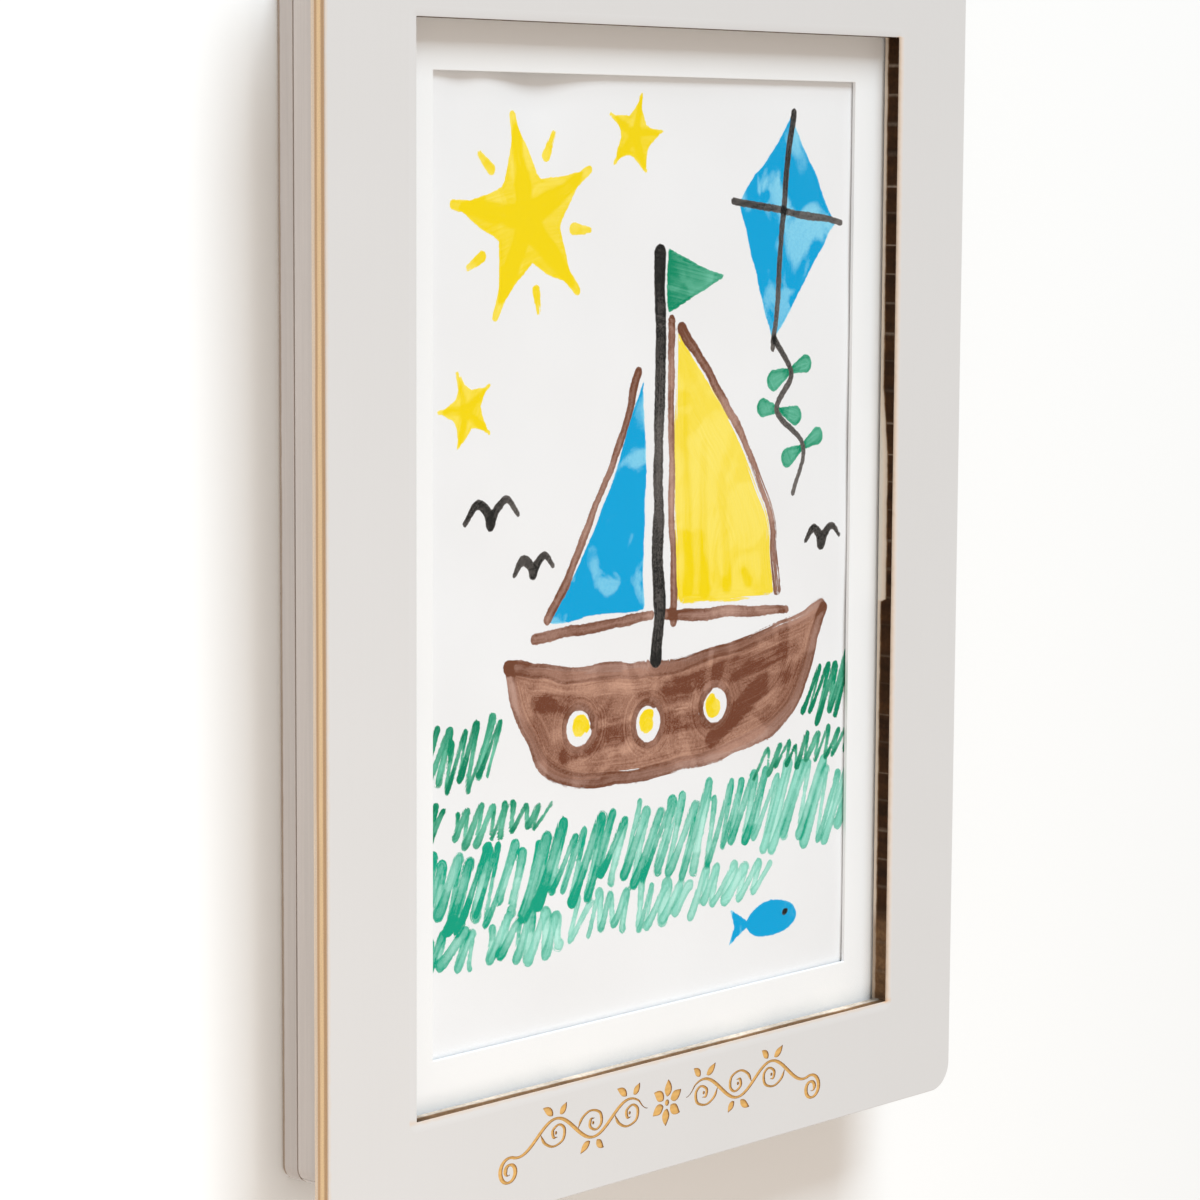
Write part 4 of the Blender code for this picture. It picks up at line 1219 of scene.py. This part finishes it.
def paint_sky(sheet):
    """Yellow stars, a blue kite with a bowed tail, and birds."""
    large, tilt = (-55, 101), 0.18
    stars = ((large, 29, 14.0, tilt), ((-8, 126), 11.5, 5.8, -0.2), ((-80, 46), 11, 5.4, 0.3))
    for seed, (centre, outer, inner, turn) in enumerate(stars):
        outline = star_outline(centre, outer, inner, turn)
        edge = by_hand(even(outline, 2.5, close=True), 0.9, 40 + seed)
        sheet.area("yellow", edge, (1.15, 0.75), 0.9, 0.01)
        for point in range(5):
            tip = outline[2 * point] - centre
            line = even([np.add(centre, tip * 0.15), np.add(centre, tip * 1.06)], 2)
            ray = by_hand(line, 0.6, 50 + 5 * seed + point)
            sheet.stroke("yellow", ray, (outer * 0.25, outer * 0.1), (0.5, 0.9))
    for notch in range(5):
        way = star_outline((0, 0), 1, 1, tilt)[2 * notch + 1]
        line = even([way * 21 + large, way * 28 + large], 2)
        sheet.stroke("yellow", by_hand(line, 0.6, 430 + notch), (3.6, 2.8, 1.8), (1.0, 0.55), (0, 0.6))
    kite = [(66, 131), (40, 106), (58, 62), (89, 99)]
    sheet.area("blue", by_hand(even(kite, 3, close=True), 1.0, 71), (1.7, 1.5, 1.3, 1.1), 1.0, 0.003)
    sheet.stroke("black", by_hand(even([(66, 133), (58, 60)]), 0.6, 72), (2.8, 2.1), (1.0, 0.6))
    sheet.stroke("black", by_hand(even([(38, 106), (91, 99)]), 0.6, 73), (2.6, 2.2), (0.9, 0.6))
    tail = through([(58, 62), (67, 51), (60, 40), (73, 28), (68, 13)])
    sheet.stroke("black", by_hand(tail, 0.5, 74), (2.4, 1.8), (0.9, 0.5))
    for seed, (x, z, lean) in enumerate(((66.5, 52, 0.3), (61.5, 39.5, -0.2), (72.5, 27.5, 0.4))):
        for way in (0, np.pi):
            end = (x + 8 * np.cos(lean + way), z + 8 * np.sin(lean + way))
            sheet.stroke("green", by_hand(even([(x, z), end], 2), 0.5, 80 + seed), (1.8, 6.4), (1.1, 0.7))
    wings = np.array([(-9, 1), (-5, 5.5), (-1, 3), (0, -0.5), (2, 3.5), (6, 6), (10, 2)])
    for seed, (x, z, size) in enumerate(((-70, 12, 1.15), (-52, -4, 0.85), (83, -4, 0.9))):
        bird = by_hand(through(wings * size + (x, z)), 0.4, 90 + seed)
        sheet.stroke("black", bird, (1.8, 3.2, 2.8, 1.6), (0.9, 1.1, 0.7))


# Bands of the sea: paint, left and right end, level at each end, height, spacing of the strokes, load of
# paint at each end, width of the brush
SEA = (
    ("green", -112, -67, (-57, -54), 17, 4.2, (1.15, 0.95), 2.9),
    ("green", 77, 112, (-53, -48), 17, 4.2, (1.2, 0.8), 2.9),
    ("green", -108, -46, (-74, -77), 9, 4.6, (1.0, 0.7), 2.8),
    ("green", 54, 110, (-73, -68), 9, 4.6, (1.0, 0.6), 2.8),
    ("teal", -112, 112, (-96, -87), 22, 5.4, (1.15, 0.45), 4.2),
    ("teal", -112, 56, (-114, -109), 11, 6.0, (0.8, 0.3), 4.2),
)


def paint_sea(sheet):
    """Choppy water: bands of tight scribbles, dark beside the hull and paler below it.

    Each leg of a scribble is a stroke of its own, with a load of its own, so that paint gathers where a leg
    turns into the next or lies over it.
    """
    dice = np.random.default_rng(5)
    for band, (paint, left, right, levels, height, pitch, loads, width) in enumerate(SEA):
        count = int((right - left) / pitch * 2)
        line = scribble(left, right, height, pitch, 0.42, band)
        share = np.clip((line[:, 0] - left) / (right - left), 0, 1)
        line[:, 1] += levels[0] + (levels[1] - levels[0]) * share
        heavy = 1.0
        for leg in range(count - 1):
            start = LEG_STEPS * leg
            part = line[start:start + LEG_STEPS + 1]
            if leg % 5 == 0:
                heavy = dice.uniform(0.75, 1.3)
            if dice.uniform() < 0.05:
                continue
            load = heavy * np.interp(leg / count, (0, 1), loads) * dice.uniform(0.75, 1.2)
            name = paint if leg % 2 else paint + "_over"
            thick = width * dice.uniform(0.5, 1.15)
            ends = (load * 1.25, load * 0.45, load * 1.15) if leg % 2 else (load * 1.15, load * 0.6, load)
            sheet.stroke(name, part, (thick, thick * 0.8, thick), ends, (0.0, 0.35))


def paint_fish(sheet):
    """A small blue fish under the waves."""
    angle = np.linspace(0, 2 * np.pi, 40, endpoint=False)
    body = np.stack([60 + 12 * np.cos(angle), -124 + 5.6 * np.sin(angle)], axis=1)
    sheet.area("blue", by_hand(body, 0.5, 401), (1.6, 1.1), 0.2, 0.0)
    tail = even([(50, -124), (39, -117.5), (41.5, -124), (39, -130.5)], 2, close=True)
    sheet.area("blue", by_hand(tail, 0.4, 402), (1.5, 1.3), 0.2, 0.0)
    sheet.stroke("black", np.array([(66, -122.8), (66.8, -122.6)]), (2.2, 2.2), (1.3, 1.3))


# Paints from the lowest to the topmost: name, thin colour, thick colour, opacity of a thin film, how much
# the rim, the brush marks, the pools of thin paint and the grains of pigment show
PAINTS = (
    ("blue", "84d4ee", "00a0d6", 0.95, 0.25, 0.10, 0.95, 0.75),
    ("yellow", "f7e667", "edd200", 0.96, 0.22, 0.70, 0.30, 0.25),
    ("brown_wash", "c3947a", "6c3c28", 0.95, 0.35, 0.90, 0.30, 1.00),
    ("teal", "b2efe0", "06a180", 0.82, 0.40, 0.60, 0.15, 0.25),
    ("teal_over", "a6e8d8", "059b7b", 0.82, 0.40, 0.60, 0.15, 0.25),
    ("green", "78d6b8", "008760", 0.90, 0.35, 0.60, 0.15, 0.20),
    ("green_over", "6acdae", "007c58", 0.90, 0.35, 0.60, 0.15, 0.20),
    ("brown_line", "bf9582", "6c402c", 0.90, 0.45, 0.50, 0.25, 0.45),
    ("black", "827a75", "181514", 0.95, 0.25, 0.40, 0.10, 0.80),
)


def painted_paper(name, picture):
    """Water-based poster paint on drawing paper.

    Each paint's distance decides where it lies, with an edge made ragged by the paper's tooth. Pigment
    gathers at the rim, along the bristles and in the tooth. It is thin in pools, and a thin film lets the
    paper through. The tooth is drawn as coarse as it needs to show.
    """
    tooth_size, ragged_size, pool_size, cockle_shade_size = 0.70 * MM, 1.4 * MM, 19 * MM, 40 * MM
    bristle_width, bristle_length = 0.55, 26.0
    material, tree, shader, place = new_material(name, 0.9, gloss=0.05)
    tooth = add(tree, "TexNoise", place, Scale=1 / tooth_size, Detail=3.0, Roughness=0.65)
    ragged = add(tree, "TexNoise", place, Scale=1 / ragged_size, Detail=3.0, Roughness=0.6)
    patches = add(tree, "TexNoise", place, Scale=1 / pool_size, Detail=2.0, Distortion=1.2)
    pools = add(tree, "MapRange", patches, 0.45, 0.61, interpolation_type="SMOOTHSTEP")
    # Painted shade: slow patches that darken the paper by up to six in a hundred, for the light and shade on
    # its cockles
    clouds = add(tree, "TexNoise", place, Scale=1 / cockle_shade_size, Detail=2.0)
    brush = add(tree, "Attribute", attribute_name="brush").outputs["Vector"]
    bristles = add(tree, "Mapping", brush, Scale=(1 / bristle_width, 1 / bristle_length, 1.0))
    streaks = add(tree, "TexNoise", bristles, Scale=1.0, Detail=2.0, Roughness=0.6)
    combed = add(tree, "MapRange", streaks, 0.5, 0.7, 0.0, 3.2)
    # The paper's colour, darkened in the patches of painted shade
    colour = add(tree, "Mix", clouds, picture.paper, shade(picture.paper, 0.94),
                 data_type="RGBA").outputs[2]
    cover_all = None
    for paint, thin, thick, body, rim, brushed, patchy, grainy in PAINTS:
        state = add(tree, "Attribute", attribute_name=paint).outputs["Vector"]
        parts = add(tree, "SeparateXYZ", state)
        edge = add(tree, "Math", ragged, 0.9, parts.outputs[0], operation="MULTIPLY_ADD")
        frayed = add(tree, "Math", combed, parts.outputs[2], edge, operation="MULTIPLY_ADD")
        cover = add(tree, "MapRange", frayed, 0.62, 0.32, interpolation_type="SMOOTHSTEP")
        pooled = add(tree, "MapRange", edge, -0.9, 0.35, 0.0, rim)
        load = add(tree, "Math", parts.outputs[1], 0.85, -0.5 * (brushed + grainy),
                   operation="MULTIPLY_ADD")
        load = add(tree, "Math", streaks, brushed, load, operation="MULTIPLY_ADD")
        load = add(tree, "Math", pools, -patchy, load, operation="MULTIPLY_ADD")
        load = add(tree, "Math", tooth, grainy, load, operation="MULTIPLY_ADD")
        density = add(tree, "Math", load, pooled, operation="ADD", use_clamp=True)
        tone = add(tree, "Mix", density, to_linear(thin), to_linear(thick), data_type="RGBA")
        film = add(tree, "MapRange", density, 0.0, 1.0, body)
        over = add(tree, "Math", cover, film, operation="MULTIPLY")
        colour = add(tree, "Mix", over, colour, tone, data_type="RGBA").outputs[2]
        cover_all = cover if cover_all is None else add(tree, "Math", cover_all, cover, operation="MAXIMUM")
    dull = add(tree, "MapRange", cover_all, 0.0, 1.0, 0.9, 0.6)
    bump = add(tree, "Bump", Height=tooth, Strength=0.5, Distance=0.035 * MM)
    film_edge = add(tree, "Bump", Height=cover_all, Strength=0.6, Distance=0.03 * MM, Normal=bump)
    feed(tree, shader, colour, normal=film_edge, roughness=dull)
    return material


def drawing_paper(name, colour):
    """The bare back of the drawing paper, with its tooth."""
    tooth_size = 0.45 * MM
    material, tree, shader, place = new_material(name, 0.9, gloss=0.1)
    tooth = add(tree, "TexNoise", place, Scale=1 / tooth_size, Detail=3.0)
    tone = add(tree, "Mix", tooth, shade(colour, 0.97), colour, data_type="RGBA")
    bump = add(tree, "Bump", Height=tooth, Strength=0.4, Distance=0.03 * MM)
    feed(tree, shader, tone, normal=bump)
    return material


def sheet_depth(points):
    """How far the sheet lies behind the mat, from 0 where it touches to 1 at its deepest.

    It bows back under the mat's top edge left of the middle and a little along the right side, in bell
    curves, and has slow cockles where wet paint dried, in crossed sine waves.
    """
    x, z = points[:, 0], points[:, 1]
    top = np.exp(-((z - 150) / 30) ** 2)
    bow = np.exp(-((x + 50) / 15) ** 2) + 0.35 * np.exp(-((x + 83) / 7) ** 2)
    right = 0.08 * np.exp(-((x - 106) / 14) ** 2) * (0.6 + 0.4 * np.sin((z + 20) / 30))
    wandering = 0.09 * np.sin(x / 17 + 0.9 * np.sin(z / 31)) * np.sin(z / 23 + 0.6)
    cockles = wandering + 0.05 * np.sin((x + 2 * z) / 19)
    belly = 0.22 * np.cos(np.clip(x / 105, -1, 1) * np.pi / 2) * np.cos(np.clip(z / 150, -1, 1) * np.pi / 2)
    return np.clip(0.08 + top * bow + right + cockles + belly, 0, 1)


def make_painting(picture):
    """The painted sheet: a cockled grid of paper with its paints as attributes, and a coarser bare back."""
    half_x, half_z = SHEET_HIGH.x / MM, SHEET_HIGH.z / MM
    step = picture.paper_step / MM * BACK_EVERY
    columns = BACK_EVERY * round(2 * half_x / step) + 1
    rows = BACK_EVERY * round(2 * half_z / step) + 1
    sheet = Sheet(half_x, half_z, columns, rows)
    paint_sky(sheet)
    paint_boat(sheet)
    paint_sea(sheet)
    paint_fish(sheet)
    room = SHEET_HIGH.y - SHEET_LOW.y - picture.paper_thickness
    depth = SHEET_LOW.y + room * sheet_depth(sheet.points)
    front = np.stack([sheet.points[:, 0] * MM, depth, sheet.points[:, 1] * MM], axis=1)
    count = len(front)
    index = np.arange(count).reshape(rows, columns)
    kept = index[::BACK_EVERY, ::BACK_EVERY]
    back = front[kept.ravel()] + (0, picture.paper_thickness, 0)
    behind = count + np.arange(kept.size).reshape(kept.shape)
    faces = grid_faces(rows, columns).tolist()
    painted = len(faces)
    faces += (grid_faces(*kept.shape)[:, ::-1] + count).tolist()
    edges = ((index[0], behind[0]), (index[:, -1], behind[:, -1]), (index[-1, ::-1], behind[-1, ::-1]),
             (index[::-1, 0], behind[::-1, 0]))
    for near, far in edges:
        for number in range(len(far) - 1):
            span = near[number * BACK_EVERY:(number + 1) * BACK_EVERY + 1]
            faces.append(span.tolist() + [int(far[number + 1]), int(far[number])])
    kinds = np.ones(len(faces), int)
    kinds[:painted] = 0
    materials = [
        painted_paper("poster_paint_on_drawing_paper", picture), drawing_paper("drawing_paper", picture.paper)
    ]
    points = np.concatenate([front, back])
    piece = make_piece("painted_sheet", points, faces, materials, kinds, smooth_angle=60)
    for name, values in {**sheet.paints, "brush": sheet.brush}.items():
        attribute = piece.data.attributes.new(name, "FLOAT_VECTOR", "POINT")
        both = np.concatenate([values, np.tile(UNPAINTED, (len(back), 1))]).astype(np.float32)
        attribute.data.foreach_set("vector", both.ravel())
    seat(piece, "painting_sheet", slot="paper")


def make_glazing():
    """The clear sheet in front of the mat."""
    cut_edge = 0.1 * MM
    material = clear_acrylic("clear_acrylic_sheet")
    pane = softened_copy("glazing_sheet", "clear_glazing", cut_edge, [material])
    seat(pane, "glazing_sheet", slot="clear_acrylic")


def make_backing(picture):
    """The board behind the painted sheet and the four fillets round the sheets."""
    board_edge, fillet_edge = 0.3 * MM, 0.35 * MM
    hardboard = backing_hardboard("pressed_fibre_board", picture.board)
    board = softened_copy("backing_board", "pressed_backing_board", board_edge, [hardboard])
    seat(board, "backing_board", slot="grey_board")
    pines = {along: bare_pine("planed_pine_along_" + along.lower(), picture.pine, along) for along in "XZ"}
    for side, along in SIDES.items():
        node = "fillet_" + side
        fillet = softened_copy(node, "pine_" + node, fillet_edge, [pines[along]])
        seat(fillet, node, slot="bare_wood")


# Hardware

def cross_cutter(reach, face_y, depth):
    """Cutter for a driver's cross, which narrows from above the screw's face to its floor."""
    arm = 0.22 * reach
    above = 0.3 * MM
    corner = np.array([(reach, arm), (arm, arm), (arm, reach)])
    outline = []
    for turn in range(4):
        c, s = np.cos(turn * np.pi / 2), np.sin(turn * np.pi / 2)
        outline.append(corner @ np.array([(c, s), (-s, c)]))
    outline = np.concatenate(outline)
    count = len(outline)
    levels = ((1.12, face_y + above), (1.0, face_y), (0.55, face_y - depth))
    rings = [np.stack([outline[:, 0] * f, np.full(count, y), outline[:, 1] * f], axis=1) for f, y in levels]
    faces = grid_faces(3, count, wrap_columns=True).tolist()
    faces += [list(range(count)), list(range(2 * count, 3 * count))]
    return make_piece("driver_cross", np.stack(rings), faces, [])


def screw_profile(kind, low_y, high_y, head_radius, shank_radius, head_height):
    """Profile of (radius, y) of a screw along Y, from its head's face down its ridged thread to its tip."""
    pitch, neck, tip = 1.1 * MM, 0.3 * MM, 1.5 * MM
    root_share, tip_share = 0.72, 0.25
    under_head = high_y - head_height
    if kind == "countersunk":
        bevel, bevel_end = 0.12 * MM, high_y - 0.1 * MM
        draft, rim_end = 0.05 * MM, high_y - 0.3 * MM
        head = [(head_radius - bevel, high_y), (head_radius, bevel_end), (head_radius - draft, rim_end)]
    else:
        crown_end, dome_end = high_y - 0.22 * MM, high_y - 0.6 * MM
        head = [(head_radius * 0.55, high_y), (head_radius * 0.86, crown_end), (head_radius, dome_end),
                (head_radius, under_head)]
    start, end = under_head - neck, low_y + tip
    count = max(2, int((start - end) / pitch))
    levels = np.linspace(start, end, 2 * count + 1)
    thread = [(shank_radius * (1.0 if i % 2 else root_share), y) for i, y in enumerate(levels)]
    return head + [(shank_radius, under_head)] + thread + [(shank_radius * tip_share, low_y)]


def turned_copy(model, name, angle, middle):
    """A copy of a model that was made on the Y axis, turned by an angle and carried to its middle."""
    mesh = model.data.copy()
    mesh.name = name
    place = np.zeros(len(mesh.vertices) * 3)
    mesh.vertices.foreach_get("co", place)
    x, y, z = place.reshape(-1, 3).T
    c, s = np.cos(angle), np.sin(angle)
    moved = np.stack([x * c - z * s + middle.x, y, x * s + z * c + middle.z], axis=1)
    mesh.vertices.foreach_set("co", moved.ravel())
    mesh.update()
    return put_in_scene(name, mesh)


def make_screws(hardware):
    """Every screw: countersunk ones in the panel and hangers, pan heads on the turn buttons.

    One screw of each kind is turned and gets its driver's cross, and its mesh is carried to each place,
    with its cross at an angle of its own.
    """
    recess_depth = 0.8 * MM
    first_turn, next_turn = radians(17), radians(41)
    zinc = plated_metal("zinc_plated_steel_screw", hardware.zinc, 0.34, 1.5 * MM, 0.16)
    brass = plated_metal("brass_plated_steel_screw", hardware.brass, 0.28, 1.5 * MM, 0.14)
    # Start of the nodes' names, kind of head, shank's radius, head's height, share of the largest cross, slot
    # and metal
    kinds = (
        ("panel_screw_", "countersunk", 0.0014, 0.0018, 1.0, "zinc_plated_steel", zinc),
        ("hanger_screw_", "countersunk", 0.0011, 0.0012, 0.78, "zinc_plated_steel", zinc),
        ("turn_button_screw_", "pan", 0.0010, 0.0014, 0.74, "zinc_plated_steel", brass),
    )
    for prefix, kind, shank, head_height, size, slot, metal in kinds:
        nodes = sorted(node for node in frame["nodes"] if node.startswith(prefix))
        low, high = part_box(nodes[0])
        radius = (high.x - low.x) / 2
        profile = screw_profile(kind, low.y, high.y, radius, shank, head_height)
        model = make_piece(prefix + "model", *turned_mesh(profile), [metal], smooth_angle=28)
        carve(model, cross_cutter(hardware.recess_reach * size, high.y, recess_depth * size))
        for index, node in enumerate(nodes):
            low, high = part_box(node)
            angle = first_turn + next_turn * index
            screw = turned_copy(model, node + "_metal", angle, (low + high) / 2)
            seat(screw, node, slot=slot)
        bpy.data.objects.remove(model, do_unlink=True)


def make_magnets(hardware):
    """Disc magnets with a small rounded rim."""
    nickel = plated_metal("nickel_plated_magnet", hardware.nickel, 0.16, 2 * MM, 0.06)
    rim = 0.25 * MM
    turn = np.linspace(0, np.pi / 2, EDGE_STEPS + 1)
    for node in sorted(n for n in frame["nodes"] if "magnet" in n):
        low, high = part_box(node)
        radius = (high.x - low.x) / 2
        near = [(radius - rim * (1 - s), low.y + rim * (1 - c)) for s, c in zip(np.sin(turn), np.cos(turn))]
        far = [(radius - rim * (1 - c), high.y - rim * (1 - s)) for s, c in zip(np.sin(turn), np.cos(turn))]
        inner = radius - 2 * rim
        points, faces = turned_mesh([(inner, low.y)] + near + far + [(inner, high.y)])
        middle = (low + high) / 2
        magnet = make_piece(node + "_disc", points + (middle.x, 0, middle.z), faces, [nickel])
        seat(magnet, node, slot="nickel")


def make_plates(hardware):
    """Stamped plates: the keyhole hangers and the turn buttons, with the rounding that a press leaves."""
    hanger_edge, button_edge = 0.3 * MM, 0.2 * MM
    zinc = plated_metal("zinc_plated_steel_hanger", hardware.zinc, 0.38, 7 * MM, 0.2)
    brass = plated_metal("brass_plated_turn_button", hardware.brass, 0.26, 5 * MM, 0.12)
    for side in ("left", "right"):
        node = "keyhole_hanger_" + side
        hanger = softened_copy(node, "steel_" + node, hanger_edge, [zinc], steps=3)
        seat(hanger, node, slot="zinc_plated_steel")
    for side in SIDES:
        node = "turn_button_" + side
        button = softened_copy(node, "brass_" + node, button_edge, [brass])
        seat(button, node, slot="brass_plated_steel")


# Stage

def make_wall(stage):
    """The wall: seen from the front and open to light, and to a camera that stands behind it."""
    material = bpy.data.materials.new("matt_wall_paint")
    material.use_nodes = True
    tree = material.node_tree
    tree.nodes.clear()
    stipple_size = 1.6 * MM
    place = add(tree, "TexCoord").outputs["Object"]
    roller = add(tree, "TexNoise", place, Scale=1 / stipple_size, Detail=2.0)
    bump = add(tree, "Bump", Height=roller, Strength=0.25, Distance=0.05 * MM)
    paint = add(tree, "BsdfDiffuse", Color=stage.wall, Normal=bump)
    clear = add(tree, "BsdfTransparent")
    path = add(tree, "LightPath")
    face = add(tree, "NewGeometry")
    front = add(tree, "Math", 1.0, face.outputs["Backfacing"], operation="SUBTRACT")
    seen = add(tree, "Math", front, path.outputs["Is Camera Ray"], operation="MULTIPLY")
    mixed = add(tree, "MixShader", seen, clear, paint)
    add(tree, "OutputMaterial", mixed)
    half, y = stage.wall_size / 2, stage.wall_gap
    mesh = bpy.data.meshes.new("wall")
    corners = [(-half, y, -half), (half, y, -half), (half, y, half), (-half, y, half)]
    mesh.from_pydata(corners, [], [(0, 1, 2, 3)])
    mesh.materials.append(material)
    wall = put_in_scene("wall", mesh)


# What the settings give for each lamp
LAMP_PARTS = ("place", "size", "power", "light")


def make_lamp(name, place, size, power, light):
    """A square soft lamp that faces the frame."""
    lamp = bpy.data.lights.new(name, "AREA")
    lamp.shape = "SQUARE"
    lamp.size = size
    lamp.energy = power
    lamp.color = light
    holder = put_in_scene(name, lamp)
    holder.location = place
    holder.rotation_euler = (-Vector(place)).to_track_quat("-Z", "Y").to_euler()


def make_room_light(stage):
    """Even light from all round, and a white room where the camera, metal or glass looks at it."""
    world = bpy.data.worlds.new("room")
    bpy.context.scene.world = world
    world.use_nodes = True
    tree = world.node_tree
    tree.nodes.clear()
    path = add(tree, "LightPath")
    mirrored = add(tree, "Math", path.outputs["Is Glossy Ray"], path.outputs["Is Transmission Ray"],
                   operation="MAXIMUM")
    looked_at = add(tree, "Math", mirrored, path.outputs["Is Camera Ray"], operation="MAXIMUM")
    light = add(tree, "Background", Color=stage.room, Strength=stage.room_light)
    white = add(tree, "Background", Color=to_linear("fefefc"), Strength=1.0)
    mixed = add(tree, "MixShader", looked_at, light, white)
    add(tree, "OutputWorld", mixed)


def make_camera(stage):
    """The camera at the height and side that the frame is shown from."""
    lens = bpy.data.cameras.new("camera")
    lens.lens = stage.lens
    lens.sensor_width = 36.0
    camera = put_in_scene("camera", lens)
    camera.location = stage.camera_place
    camera.rotation_euler = stage.camera_turn
    bpy.context.scene.camera = camera


class ARTFRAME_OT_stage(bpy.types.Operator):
    """Sets up the camera, the lamps, the room's light and the wall"""

    bl_idname = "artframe.stage"
    bl_label = "Stage"

    def execute(self, context):
        stage = context.scene.artframe_stage
        context.scene.view_settings.view_transform = "Standard"
        make_camera(stage)
        make_wall(stage)
        make_room_light(stage)
        for lamp in ("key", "near", "back"):
            make_lamp(lamp + "_lamp", *(getattr(stage, f"{lamp}_{part}") for part in LAMP_PARTS))
        return {"FINISHED"}


class ARTFRAME_OT_front_plate(bpy.types.Operator):
    """Makes the plywood cover plate"""

    bl_idname = "artframe.front_plate"
    bl_label = "Cover plate"

    def execute(self, context):
        make_front_plate(context.scene.artframe_cover)
        return {"FINISHED"}


class ARTFRAME_OT_rails(bpy.types.Operator):
    """Makes the four rails of the storage box"""

    bl_idname = "artframe.rails"
    bl_label = "Rails"

    def execute(self, context):
        make_rails(context.scene.artframe_box)
        return {"FINISHED"}


class ARTFRAME_OT_back_panel(bpy.types.Operator):
    """Makes the back panel of the storage box"""

    bl_idname = "artframe.back_panel"
    bl_label = "Back panel"

    def execute(self, context):
        make_back_panel(context.scene.artframe_box)
        return {"FINISHED"}


class ARTFRAME_OT_mat(bpy.types.Operator):
    """Makes the mat"""

    bl_idname = "artframe.mat"
    bl_label = "Mat"

    def execute(self, context):
        make_mat(context.scene.artframe_picture)
        return {"FINISHED"}


class ARTFRAME_OT_painting(bpy.types.Operator):
    """Makes the painted sheet"""

    bl_idname = "artframe.painting"
    bl_label = "Painted sheet"

    def execute(self, context):
        make_painting(context.scene.artframe_picture)
        return {"FINISHED"}


class ARTFRAME_OT_glazing(bpy.types.Operator):
    """Makes the clear glazing"""

    bl_idname = "artframe.glazing"
    bl_label = "Glazing"

    def execute(self, context):
        make_glazing()
        return {"FINISHED"}


class ARTFRAME_OT_backing(bpy.types.Operator):
    """Makes the backing board and the fillets"""

    bl_idname = "artframe.backing"
    bl_label = "Backing and fillets"

    def execute(self, context):
        make_backing(context.scene.artframe_picture)
        return {"FINISHED"}


class ARTFRAME_OT_screws(bpy.types.Operator):
    """Makes every screw"""

    bl_idname = "artframe.screws"
    bl_label = "Screws"

    def execute(self, context):
        make_screws(context.scene.artframe_hardware)
        return {"FINISHED"}


class ARTFRAME_OT_magnets(bpy.types.Operator):
    """Makes the magnets"""

    bl_idname = "artframe.magnets"
    bl_label = "Magnets"

    def execute(self, context):
        make_magnets(context.scene.artframe_hardware)
        return {"FINISHED"}


class ARTFRAME_OT_plates(bpy.types.Operator):
    """Makes the keyhole hangers and the turn buttons"""

    bl_idname = "artframe.plates"
    bl_label = "Hangers and turn buttons"

    def execute(self, context):
        make_plates(context.scene.artframe_hardware)
        return {"FINISHED"}


OPERATORS = (
    ARTFRAME_OT_stage, ARTFRAME_OT_front_plate, ARTFRAME_OT_rails, ARTFRAME_OT_back_panel, ARTFRAME_OT_mat,
    ARTFRAME_OT_painting, ARTFRAME_OT_glazing, ARTFRAME_OT_backing, ARTFRAME_OT_screws, ARTFRAME_OT_magnets,
    ARTFRAME_OT_plates,
)


class ARTFRAME_PT_pieces(bpy.types.Panel):
    """Lists the frame's pieces and their settings"""

    bl_idname = "ARTFRAME_PT_pieces"
    bl_label = "Art frame"
    bl_space_type = "VIEW_3D"
    bl_region_type = "UI"
    bl_category = "Art frame"

    def draw(self, context):
        for operator in OPERATORS:
            self.layout.operator(operator.bl_idname)
        for name, group in SETTINGS.items():
            box = self.layout.box()
            box.label(text=group.__doc__)
            for setting in group.__annotations__:
                box.prop(getattr(context.scene, name), setting)


def register():
    for item in (*SETTINGS.values(), *OPERATORS, ARTFRAME_PT_pieces):
        bpy.utils.register_class(item)
    for name, group in SETTINGS.items():
        setattr(bpy.types.Scene, name, PointerProperty(type=group))


def unregister():
    for name in SETTINGS:
        delattr(bpy.types.Scene, name)
    for item in (ARTFRAME_PT_pieces, *reversed(OPERATORS), *SETTINGS.values()):
        bpy.utils.unregister_class(item)


def main():
    """Makes the stage and every piece."""
    register()
    for operator in OPERATORS:
        group, name = operator.bl_idname.split(".")
        getattr(getattr(bpy.ops, group), name)()
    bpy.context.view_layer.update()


if __name__ == "__main__":
    main()
